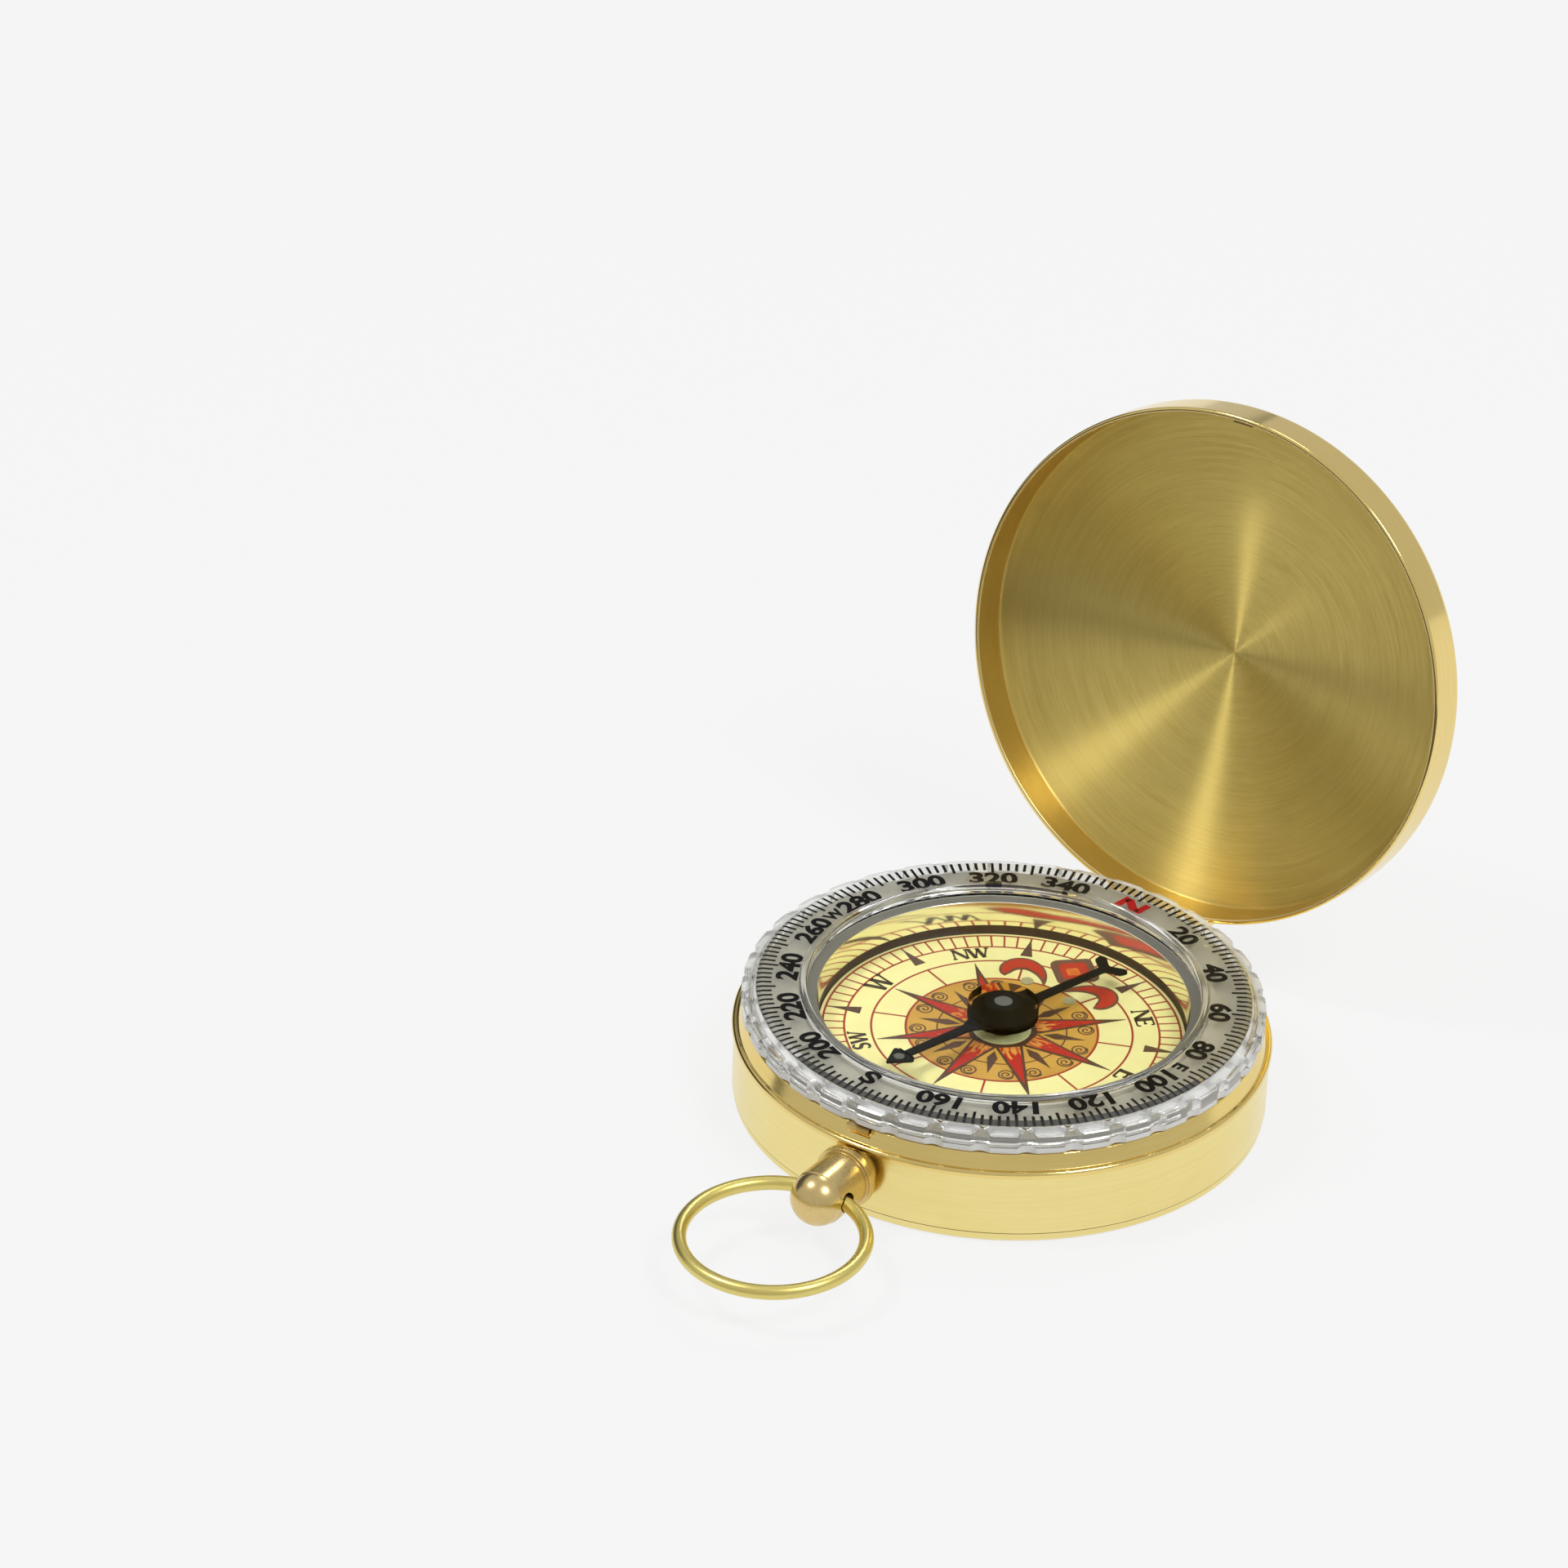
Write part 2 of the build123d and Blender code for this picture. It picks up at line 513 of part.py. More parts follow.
def case_hinge_knuckles():
    """Two knuckles with feet brazed to the band."""
    knuckles = []
    for x_from in (-HINGE_HALF, HINGE_HALF - KNUCKLE_W):
        span = (x_from, x_from + KNUCKLE_W)
        knuckle = block(span, (BAND_IN_R - BAND_T, HINGE_Y), (HINGE_Z - FOOT_H / 2, HINGE_Z + FOOT_H / 2))
        knuckle -= disc(BAND_R, 0, BEAD_Z)
        knuckle += along_x(KNUCKLE_R, span[0], span[1], HINGE_Y, HINGE_Z)
        knuckle -= along_x(HINGE_PIN_R + FIT, span[0], span[1], HINGE_Y, HINGE_Z)
        knuckles.append(knuckle)
    return knuckles


def hinge_pin():
    """Pin through all the knuckles."""
    return along_x(HINGE_PIN_R, -HINGE_HALF, HINGE_HALF, HINGE_Y, HINGE_Z)


def lid_spring():
    """Torsion spring round the pin, between the first case knuckle and the lid's knuckle."""
    end = LID_SPRING_WIRE_R + AIR
    start = -HINGE_HALF + KNUCKLE_W + end
    pitch = (LID_KNUCKLE_FROM - end - start) / LID_SPRING_TURNS
    spring = coil("lid_spring", LID_SPRING_R, pitch, LID_SPRING_TURNS, LID_SPRING_WIRE_R)
    return Pos(start, HINGE_Y, HINGE_Z) * Rot(0, 90, 0) * spring


def pendant_tube():
    """Short tube on the band that guides the crown's stem."""
    tube_y = along_y(PENDANT_R, PENDANT_Y, -BAND_IN_R, CROWN_Z)
    tube_y -= disc(BAND_R, 0, BEAD_Z)
    return tube_y - along_y(STEM_R + RUN, PENDANT_Y, -BAND_IN_R, CROWN_Z)


def crown_button():
    """Flanged push crown with a domed end, a spring bore and a cross hole for the bow."""
    edges = Polyline((0, FLANGE_Y), (FLANGE_R, FLANGE_Y), (FLANGE_R, BODY_Y))
    edges += Polyline((FLANGE_R, BODY_Y), (CROWN_R, BODY_Y), (CROWN_R, DOME_Y))
    half_y = DOME_Y - cap_height(CROWN_R, DOME_L, CROWN_R / 2)
    edges += ThreePointArc((CROWN_R, DOME_Y), (CROWN_R / 2, half_y), (0, DOME_Y - DOME_L))
    edges += Line((0, DOME_Y - DOME_L), (0, FLANGE_Y))
    crown = Pos(0, 0, CROWN_Z) * turned(edges, Plane.XY, Axis.Y)
    crown -= along_y(SPRING_BORE_R, SPRING_SEAT_Y, FLANGE_Y, CROWN_Z)
    crown -= along_y(STEM_R + FIT, SPRING_SEAT_Y - STEM_GRIP, SPRING_SEAT_Y, CROWN_Z)
    return crown - along_x(BOW_HOLE_R, -CROWN_R, CROWN_R, BOW_Y, CROWN_Z)


def crown_stem():
    """Stem from the crown through the pendant, stepped down for the latch plate."""
    stem = along_y(STEM_R, SPRING_SEAT_Y - STEM_GRIP, LATCH_Y, CROWN_Z)
    return stem + along_y(STEM_END_R, LATCH_Y, LATCH_Y + LATCH_T + NUT_T, CROWN_Z)


def crown_spring():
    """Compression spring round the stem, between the pendant and the crown's bore."""
    end = CROWN_SPRING_WIRE_R + RUN
    start = SPRING_SEAT_Y + end
    pitch = (PENDANT_Y - end - start) / CROWN_SPRING_TURNS
    spring = coil("crown_spring", CROWN_SPRING_R, pitch, CROWN_SPRING_TURNS, CROWN_SPRING_WIRE_R)
    return Pos(0, start, CROWN_Z) * Rot(-90, 0, 0) * spring


def latch_hook():
    """Latch plate on the stem's end, with a nose that reaches out over the lid's lug."""
    half = LATCH_W / 2
    hook = block((-half, half), (LATCH_Y, LATCH_Y + LATCH_T), (CROWN_Z - LATCH_FOOT, NOSE_TOP))
    hook += block((-half, half), (-NOSE_OUT, LATCH_Y + LATCH_T), (NOSE_TOP - NOSE_T, NOSE_TOP))
    return hook - along_y(STEM_END_R + FIT, LATCH_Y, LATCH_Y + LATCH_T, CROWN_Z)


def latch_nut():
    """Hexagon nut that holds the latch plate against the stem's shoulder."""
    face = RegularPolygon(NUT_R, 6) - Circle(STEM_END_R + FIT)
    return Pos(0, LATCH_Y + LATCH_T, CROWN_Z) * Rot(-90, 0, 0) * extrude(face, NUT_T)


def bow_ring():
    """Round wire ring through the crown's cross hole."""
    inside = math.sqrt(BOW_R ** 2 - CROWN_R ** 2)
    reach = (BOW_R + inside) / 2
    ring = Pos(0, -reach, 0) * Torus(BOW_R, BOW_WIRE_R)
    return Pos(0, BOW_Y, CROWN_Z) * Rot(BOW_DROOP_DEG, 0, 0) * ring


NODES = [
    back_cover, case_band, compass_bowl, dial_plate, lume_disc, pivot_post, pivot_pin, crystal,
    bezel_spring_wire, case_hinge_knuckles, hinge_pin, lid_spring, pendant_tube, crown_spring,
    bezel_ring, bezel_scale_ring,
    needle_blade, needle_hub, needle_bearing, needle_jewel, needle_lume_dots,
    lid_shell, lid_hinge_leaf, lid_catch_lug,
    crown_button, crown_stem, latch_hook, latch_nut, bow_ring,
]

os.makedirs("parts", exist_ok=True)
for node in NODES:
    shape = node()
    if isinstance(shape, list):
        shape = Compound(children=shape)
    export_step(shape, os.path.join("parts", node.__name__ + ".step"))
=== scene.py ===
# %% [markdown]
# A brass pocket compass
#
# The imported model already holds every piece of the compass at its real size: the case, the lid on its
# hinge, the clear bezel, the needle, the push crown and the bow. This lesson dresses it. Most of the
# compass is turned on a lathe, so most shapes here are one outline carried round an axis. The marks on
# the dial and on the bezel are thin layers of ink, cut as flat shapes.

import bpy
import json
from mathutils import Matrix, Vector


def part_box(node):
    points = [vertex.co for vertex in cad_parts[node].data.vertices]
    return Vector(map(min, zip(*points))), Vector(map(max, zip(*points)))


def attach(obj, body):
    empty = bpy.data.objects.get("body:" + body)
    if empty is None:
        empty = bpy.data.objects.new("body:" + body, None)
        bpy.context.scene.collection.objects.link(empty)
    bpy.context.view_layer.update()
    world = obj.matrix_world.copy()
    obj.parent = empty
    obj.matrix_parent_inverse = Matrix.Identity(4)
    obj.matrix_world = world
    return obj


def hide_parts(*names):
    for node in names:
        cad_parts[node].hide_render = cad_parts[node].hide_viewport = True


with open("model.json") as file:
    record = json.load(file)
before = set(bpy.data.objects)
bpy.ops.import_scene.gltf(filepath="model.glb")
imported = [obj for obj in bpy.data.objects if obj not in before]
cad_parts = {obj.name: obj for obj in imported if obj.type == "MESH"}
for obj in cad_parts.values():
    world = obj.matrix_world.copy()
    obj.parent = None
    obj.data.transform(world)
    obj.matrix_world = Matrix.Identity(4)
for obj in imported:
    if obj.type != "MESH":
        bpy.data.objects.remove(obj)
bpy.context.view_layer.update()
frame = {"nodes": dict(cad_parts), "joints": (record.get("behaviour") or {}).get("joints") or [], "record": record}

# %% Modules and units
import json

import bmesh
import bpy
import numpy as np
from mathutils import Matrix, Vector

MM = 0.001            # the shapes are worked out in millimetres
WELD = 1e-7           # points closer than this, in metres, are one point
scene = bpy.context.scene
scene.view_settings.view_transform = "Standard"


def node_box(name):
    """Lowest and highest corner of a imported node, in millimetres."""
    low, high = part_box(name)
    return np.array(low) / MM, np.array(high) / MM


print("case", node_box("case_band")[1].round(2), "lid", node_box("lid_shell")[1].round(2))

# %% [markdown]
# The camera
#
# A photograph of a small thing is usually taken from far away with a long lens. The camera here stands
# 0.6 m off, 33 degrees round from the crown and 30 degrees up. Its axes come from those angles, and its
# place is where the middle of the case falls on the right pixel.

# %% Camera
FRAME_PX = 1920
FOCAL_PX = 7868.0
AZIMUTH_DEG, ELEVATION_DEG, ROLL_DEG = 33.08, 29.99, -2.03
AIM = np.array([0.0, 0.0, 6.0])
AIM_PX = np.array([1226.05, 1272.86])
AIM_DEPTH = 594.7
SENSOR_MM = 36.0
CLIP_START = 0.01     # in metres


def camera_axes(azimuth, elevation, roll):
    """Right, down and ahead of a camera: ahead points from the given azimuth and elevation to the
    origin, right is level, and both right and down are then turned about ahead by the roll."""
    a, e, t = np.radians([azimuth, elevation, roll])
    ahead = -np.array([np.sin(a) * np.cos(e), -np.cos(a) * np.cos(e), np.sin(e)])
    level = np.cross(ahead, [0, 0, 1])
    level /= np.linalg.norm(level)
    drop = np.cross(ahead, level)
    return np.cos(t) * level + np.sin(t) * drop, np.cos(t) * drop - np.sin(t) * level, ahead


right, down, ahead = camera_axes(AZIMUTH_DEG, ELEVATION_DEG, ROLL_DEG)
off_px = (AIM_PX - FRAME_PX / 2) * AIM_DEPTH / FOCAL_PX
camera_at = AIM - off_px[0] * right - off_px[1] * down - AIM_DEPTH * ahead
lens = bpy.data.cameras.new("photo_camera")
lens.sensor_width = SENSOR_MM
lens.lens = FOCAL_PX * SENSOR_MM / FRAME_PX
lens.clip_start = CLIP_START
camera = bpy.data.objects.new("photo_camera", lens)
scene.collection.objects.link(camera)
turn = np.eye(4)
turn[:3, :3] = np.stack([right, -down, -ahead], axis=1)
turn[:3, 3] = camera_at * MM
camera.matrix_world = Matrix(turn.tolist())
scene.camera = camera
print("camera at", camera_at.round(1), "mm, lens", round(lens.lens, 1), "mm")

# %% [markdown]
# Surfaces from grids
#
# Every shape below is a function of two parameters. The points come as an array of rows and columns, and
# the faces join each point to its neighbours. Blender could spin a curve instead, but with arrays the
# grid also carries a UV map, so a finish can follow the lathe's tool round the piece.

# %% Grid surfaces
TURNED = 256          # columns round a turned piece
ARC_STEPS = 6         # points on each rounded corner
EASE = 0.03           # a second ring of points beside each rounded corner keeps the flats flat


def grid_faces(rows, cols, close_rows, close_cols):
    """Quads of a grid: each joins a point to the next ones along both parameters, and wraps round
    where that parameter is closed."""
    i = np.arange(rows if close_rows else rows - 1)
    j = np.arange(cols if close_cols else cols - 1)
    i, j = (a.ravel() for a in np.meshgrid(i, j, indexing="ij"))
    ni, nj = (i + 1) % rows, (j + 1) % cols
    quads = np.stack([i * cols + j, ni * cols + j, ni * cols + nj, i * cols + nj], axis=1)
    return quads, i, j


def rounded(corners, closed=True, steps=ARC_STEPS):
    """Outline through (x, y, fillet) corners. Each corner becomes an arc that starts a tangent length
    (fillet times the tangent of half the turn) before it: the heading goes evenly from one edge's
    direction to the next, and the place is the fillet times the change of the heading's sine and cosine."""
    corners = np.asarray(corners, float)
    points, fillet = corners[:, :2], corners[:, 2:]
    into = points - np.roll(points, 1, axis=0)
    out = np.roll(points, -1, axis=0) - points
    into /= np.linalg.norm(into, axis=1, keepdims=True)
    out /= np.linalg.norm(out, axis=1, keepdims=True)
    bend = np.arctan2(into[:, 0] * out[:, 1] - into[:, 1] * out[:, 0], (into * out).sum(1))[:, None]
    begin = points - into * fillet * np.abs(np.tan(bend / 2))
    first = np.arctan2(into[:, 1], into[:, 0])[:, None]
    heading = first + bend * np.linspace(0, 1, steps)
    x = begin[:, :1] + np.sign(bend) * fillet * (np.sin(heading) - np.sin(first))
    y = begin[:, 1:] + np.sign(bend) * fillet * (np.cos(first) - np.cos(heading))
    arcs = np.stack([x, y], axis=-1)
    before = arcs[:, :1] - EASE * into[:, None]
    after = arcs[:, -1:] + EASE * out[:, None]
    path = np.concatenate([before, arcs, after], axis=1).reshape(-1, 2)
    return path if closed else path[1:-1]


def washer(inner, outer, low, high, fillets):
    """Outline of a flat ring: its four corners from the inner lower one on, with a fillet for each."""
    corners = [(inner, low), (outer, low), (outer, high), (inner, high)]
    return rounded(np.column_stack([corners, fillets]))


def lathe(outline, angles=None):
    """Turned surface: a point (radius, height) of the outline goes to (radius cos a, radius sin a,
    height) at each angle a."""
    if angles is None:
        angles = np.linspace(0, 2 * np.pi, TURNED, endpoint=False)
    radius, height = np.asarray(outline).T
    x = np.cos(angles)[:, None] * radius
    y = np.sin(angles)[:, None] * radius
    return np.stack([x, y, np.broadcast_to(height, x.shape)], axis=-1)


def surface(name, points, close_rows=True, close_cols=False, bands=None):
    """Mesh of a grid of points in millimetres. The UV map holds the share of the way round in u, and
    the length along the outline, in millimetres, in v. Doubled points, such as poles, are welded.
    bands gives a material number for each step along the outline."""
    rows, cols = points.shape[:2]
    quads, i, j = grid_faces(rows, cols, close_rows, close_cols)
    mesh = bpy.data.meshes.new(name)
    mesh.from_pydata(points.reshape(-1, 3) * MM, [], quads)
    steps = np.linalg.norm(np.diff(points[0], axis=0, append=points[0][:1]), axis=1)
    along = np.concatenate([[0], np.cumsum(steps)])
    u = np.stack([i, i + 1, i + 1, i], axis=1) / rows
    v = along[np.stack([j, j, j + 1, j + 1], axis=1)]
    mesh.uv_layers.new(name="turning").data.foreach_set("uv", np.stack([u, v], axis=-1).ravel())
    if bands is not None:
        mesh.polygons.foreach_set("material_index", np.asarray(bands)[j])
    return welded(mesh)


def welded(mesh):
    """Join doubled points, turn the faces outwards and shade the mesh smooth."""
    bm = bmesh.new()
    bm.from_mesh(mesh)
    bmesh.ops.remove_doubles(bm, verts=bm.verts, dist=WELD)
    bmesh.ops.dissolve_degenerate(bm, edges=bm.edges, dist=WELD)
    bmesh.ops.recalc_face_normals(bm, faces=bm.faces)
    bm.to_mesh(mesh)
    bm.free()
    mesh.shade_smooth()
    return mesh


def place(name, mesh, materials, body, slot, *nodes):
    """Hang a finished mesh on a body, with its materials, and hide the nodes that it stands for. The slot is not
    used.
    """
    piece = bpy.data.objects.new(name, mesh)
    scene.collection.objects.link(piece)
    for material in materials if isinstance(materials, list) else [materials]:
        mesh.materials.append(material)
    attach(piece, body)
    if nodes:
        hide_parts(*nodes)
    print(name, len(mesh.polygons), "faces, on", body)


def grid_piece(name, points, materials, body, slot, *nodes, close_rows=True, close_cols=False, bands=None):
    """Make a grid of points a surface and hang it on its body, under one name."""
    place(name, surface(name, points, close_rows, close_cols, bands), materials, body, slot, *nodes)


# %% [markdown]
# Node trees
#
# A finish is a small graph of nodes. In Blender's window it would be drawn by hand. Here a few helpers add
# a node, link it and hand back its result, so that a finish reads like a sum.

# %% Node helpers


def new_material(name):
    """New material, with its node tree and its Principled shader."""
    material = bpy.data.materials.new(name)
    material.use_nodes = True
    return material, material.node_tree, material.node_tree.nodes["Principled BSDF"]


def link_or_set(tree, value, socket):
    """Link another node's output to the socket, or set the socket to a plain value."""
    if isinstance(value, bpy.types.NodeSocket):
        tree.links.new(value, socket)
    else:
        socket.default_value = value


def math_node(tree, operation, *values):
    """Math node on plain numbers or other nodes' outputs, returning its result."""
    node = tree.nodes.new("ShaderNodeMath")
    node.operation = operation
    for slot, value in enumerate(values):
        link_or_set(tree, value, node.inputs[slot])
    return node.outputs[0]


def map_range(tree, value, low, high, to_low, to_high):
    """Straight line from one range to another, clamped."""
    node = tree.nodes.new("ShaderNodeMapRange")
    ends = {"From Min": low, "From Max": high, "To Min": to_low, "To Max": to_high}
    for socket, number in ends.items():
        node.inputs[socket].default_value = number
    tree.links.new(value, node.inputs["Value"])
    return node.outputs["Result"]


def shader_mix(tree, share, first, second):
    """Mix of two shaders: the first where the share is 0 and the second where it is 1."""
    node = tree.nodes.new("ShaderNodeMixShader")
    link_or_set(tree, share, node.inputs[0])
    tree.links.new(first, node.inputs[1])
    tree.links.new(second, node.inputs[2])
    return node.outputs[0]


print("node helpers ready")


# %% [markdown]
# The room
#
# The compass stands on white paper in a white room. The world and the paper are white to the camera and
# to mirror and glass rays, and give a plainer light to everything else, so that the brass shows a white
# room and nothing burns out. Two soft lamps, to the left and to the right of the lid, make the two bright
# fans on its brushed floor. A third one behind throws soft shadows forwards. Dark cards and a dark mat in
# front, seen only in reflections, give the brass its darker tones and keep glare off the crystal.

# %% World, floor, lamps and cards
PAPER_WHITE = 0.95
PAPER_GREY, PAPER_ROUGH = 0.93, 0.9
PAPER_GLOW = 0.88     # how much of the paper's white doesn't depend on the light that falls on it
ROOM_LIGHT = 0.30
ROOM_IN_MIRRORS = 0.48   # how much of the paper's white the room above shows in the brass
FLOOR_HALF = 3.0
LAMP_FAR = 0.75
LAMPS = {
    # name: (direction from the compass, size in m, power in W)
    "left_lamp": ((-0.42, -0.26, 0.87), 0.12, 1.06),
    "right_lamp": ((0.55, -0.10, 0.83), 0.20, 1.46),
    "back_lamp": ((-0.15, 0.62, 0.77), 0.16, 0.58),
}
CARDS = {
    # name: (place in m, width, height, grey)
    "left_card": ((-0.45, 0.10, 0.13), 0.55, 0.36, 0.05),
    "back_card": ((-0.42, 0.62, 0.44), 0.34, 0.50, 0.5),
}
MAT_EDGES = (-0.80, 0.45, -0.80, -0.07)   # left, right, front and back, in m
MAT_LIFT, MAT_GREY = 0.0005, 0.03


def seen_straight(tree, mirrored=1.0):
    """1 for camera and glass rays, mirrored for mirror rays, and 0 for the light that falls on rough
    surfaces, also where it has come through glass."""
    path = tree.nodes.new("ShaderNodeLightPath").outputs
    shiny = math_node(tree, "MULTIPLY", path["Is Glossy Ray"], mirrored)
    seen = math_node(tree, "MAXIMUM", path["Is Camera Ray"], shiny)
    seen = math_node(tree, "MAXIMUM", seen, path["Is Transmission Ray"])
    fresh = math_node(tree, "LESS_THAN", path["Diffuse Depth"], 0.5)
    return math_node(tree, "MULTIPLY", seen, fresh)


def white_world():
    """Background whose strength is paper white to straight rays and the room's light to the rest."""
    world = bpy.data.worlds.new("white_room")
    world.use_nodes = True
    tree = world.node_tree
    back = tree.nodes["Background"]
    back.inputs["Color"].default_value = (1.0, 1.0, 1.0, 1)
    seen = seen_straight(tree, ROOM_IN_MIRRORS)
    tree.links.new(map_range(tree, seen, 0.0, 1.0, ROOM_LIGHT, PAPER_WHITE), back.inputs["Strength"])
    return world


def paper_material():
    """Matt white paper: to straight rays it is part plain white and part lit paper, which keeps the
    object's shadow soft."""
    material, tree, paper = new_material("white_paper")
    paper.inputs["Base Color"].default_value = (PAPER_GREY, PAPER_GREY, PAPER_GREY, 1)
    paper.inputs["Roughness"].default_value = PAPER_ROUGH
    glow = tree.nodes.new("ShaderNodeEmission")
    glow.inputs["Color"].default_value = (PAPER_WHITE, PAPER_WHITE, PAPER_WHITE, 1)
    share = math_node(tree, "MULTIPLY", seen_straight(tree), PAPER_GLOW)
    both = shader_mix(tree, share, paper.outputs[0], glow.outputs[0])
    tree.links.new(both, tree.nodes["Material Output"].inputs["Surface"])
    return material


def stage_sheet(name, corners, material):
    """Flat quad through four corners, in metres, that belongs to the stage and not to the compass."""
    mesh = bpy.data.meshes.new(name)
    mesh.from_pydata(np.asarray(corners, float), [], [(0, 1, 2, 3)])
    mesh.materials.append(material)
    sheet = bpy.data.objects.new(name, mesh)
    scene.collection.objects.link(sheet)
    return sheet


def mirrored_sheet(name, corners, grey):
    """Grey sheet that is seen only in reflections."""
    material, _, shader = new_material(name)
    shader.inputs["Base Color"].default_value = (grey, grey, grey, 1)
    card = stage_sheet(name, corners, material)
    card.visible_camera = False
    card.visible_diffuse = False
    card.visible_transmission = False
    card.visible_shadow = False


def level(left, right, front, back, height):
    """Corners of a level rectangle."""
    return [(left, front, height), (right, front, height), (right, back, height), (left, back, height)]


def upright(at, width, height):
    """Corners of an upright card that faces the compass."""
    at = np.asarray(at)
    side = np.cross(at * (1, 1, 0), [0, 0, 1])
    side *= width / 2 / np.linalg.norm(side)
    up = np.array([0, 0, height / 2])
    return [at - side - up, at + side - up, at + side + up, at - side + up]


scene.world = white_world()
stage_sheet("floor", level(-FLOOR_HALF, FLOOR_HALF, -FLOOR_HALF, FLOOR_HALF, 0.0), paper_material())
for name, (towards, size, power) in LAMPS.items():
    lamp = bpy.data.lights.new(name, "AREA")
    lamp.size = size
    lamp.energy = power
    held = bpy.data.objects.new(name, lamp)
    held.location = Vector(towards).normalized() * LAMP_FAR
    held.rotation_euler = Vector(towards).to_track_quat("Z", "Y").to_euler()
    scene.collection.objects.link(held)
for name, (at, width, height, grey) in CARDS.items():
    mirrored_sheet(name, upright(at, width, height), grey)
mirrored_sheet("front_mat", level(*MAT_EDGES, MAT_LIFT), MAT_GREY)
print("lamps", len(LAMPS), "cards", len(CARDS) + 1)

# %% [markdown]
# Finishes
#
# A metal is mostly its reflections, so what makes brass look real is how its roughness and height change
# over the surface. Two effects are shared by many materials, so each is a node group. One is handling:
# cloudy smudges, fine grain and stray scratches. The other is turning: rings that the tool leaves along
# the outline, read from the piece's own UV map.

# %% Node groups
SCRATCH_STRETCH = (150, 6000, 6000)   # scale along and across the scratches
SCRATCH_TURNS_DEG = ((20, 10, 35), (-15, 30, -50))
SCRATCH_CREST = (0.70, 0.82)          # noise levels where a scratch starts and where it is full
SCRATCH_MARK, SCRATCH_DEPTH = 0.1, 0.3
RING_SCALES = (1.0, 6.0)              # coarse and fine brush lines


def new_group(name, inputs, outputs):
    """Empty shader node group with float sockets: inputs as {name: default} and outputs by name."""
    group = bpy.data.node_groups.new(name, "ShaderNodeTree")
    for socket, value in inputs.items():
        made = group.interface.new_socket(name=socket, in_out="INPUT", socket_type="NodeSocketFloat")
        made.default_value = value
    for socket in outputs:
        group.interface.new_socket(name=socket, in_out="OUTPUT", socket_type="NodeSocketFloat")
    return group, group.nodes.new("NodeGroupInput"), group.nodes.new("NodeGroupOutput")


def noise_node(tree, vector, scale, detail=3.0):
    """Noise between 0 and 1 at a place, as its Fac output."""
    node = tree.nodes.new("ShaderNodeTexNoise")
    node.inputs["Detail"].default_value = detail
    tree.links.new(vector, node.inputs["Vector"])
    link_or_set(tree, scale, node.inputs["Scale"])
    return node.outputs["Fac"]


def stretched(tree, vector, scale, turn_deg):
    """The vector turned about Z and X and scaled unevenly, for long scratches."""
    node = tree.nodes.new("ShaderNodeMapping")
    node.inputs["Scale"].default_value = scale
    node.inputs["Rotation"].default_value = np.radians(turn_deg)
    tree.links.new(vector, node.inputs["Vector"])
    return node.outputs[0]


def handling_group():
    """Smudges are slow noise, grain is fast noise, and scratches are the crests of noise drawn out
    40 to 1 in two directions. Mark mixes the smudges and scratches, and Height the grain and scratches."""
    group, given, made = new_group(
        "handling", {"Smudge Scale": 120.0, "Grain Scale": 4000.0}, ["Mark", "Height"])
    place_at = group.nodes.new("ShaderNodeTexCoord").outputs["Object"]
    smudge = noise_node(group, place_at, given.outputs["Smudge Scale"], 4.0)
    grain = noise_node(group, place_at, given.outputs["Grain Scale"], 2.0)
    crests = []
    for turned_by in SCRATCH_TURNS_DEG:
        lines = noise_node(group, stretched(group, place_at, SCRATCH_STRETCH, turned_by), 1.0, 1.0)
        crests.append(map_range(group, lines, *SCRATCH_CREST, 0.0, 1.0))
    scratch = math_node(group, "MAXIMUM", *crests)
    sunk = math_node(group, "MULTIPLY", scratch, SCRATCH_DEPTH)
    group.links.new(math_node(group, "MULTIPLY_ADD", scratch, SCRATCH_MARK, smudge), made.inputs["Mark"])
    group.links.new(math_node(group, "SUBTRACT", grain, sunk), made.inputs["Height"])
    return group


def turning_group():
    """Brush lines: noise of the distance along the outline and, more slowly, of a circle through the
    angle, so that each line is an arc and none breaks where the turn closes. Coarse and fine are mixed."""
    group, given, made = new_group("turning", {"Rings per mm": 3.0, "Arcs": 2.0}, ["Ring"])
    uv = group.nodes.new("ShaderNodeUVMap")
    uv.uv_map = "turning"
    split = group.nodes.new("ShaderNodeSeparateXYZ")
    group.links.new(uv.outputs[0], split.inputs[0])
    angle = math_node(group, "MULTIPLY", split.outputs["X"], 2 * np.pi)
    circle = [math_node(group, "COSINE", angle), math_node(group, "SINE", angle)]
    levels = []
    for finer in RING_SCALES:
        rings = math_node(group, "MULTIPLY", given.outputs["Rings per mm"], finer)
        arcs = math_node(group, "MULTIPLY", given.outputs["Arcs"], finer)
        at = group.nodes.new("ShaderNodeCombineXYZ")
        for axis, value, scale in zip("XYZ", [split.outputs["Y"], *circle], [rings, arcs, arcs]):
            group.links.new(math_node(group, "MULTIPLY", value, scale), at.inputs[axis])
        levels.append(noise_node(group, at.outputs[0], 1.0, 2.0))
    ring = math_node(group, "MULTIPLY", math_node(group, "ADD", *levels), 0.5)
    group.links.new(ring, made.inputs["Ring"])
    return group


HANDLING = handling_group()
TURNING = turning_group()
print("node groups", HANDLING.name, TURNING.name)

# %% [markdown]
# Brass
#
# Brass reflects red and green strongly and blue little. Its polish differs over the compass: the bead and
# shoulder are nearly mirrors, the wall is satin from the lathe, the lid's inside is brushed in rings and
# the drawn bow wire is dull. One function makes them all, with its colour, polish and rings as arguments.

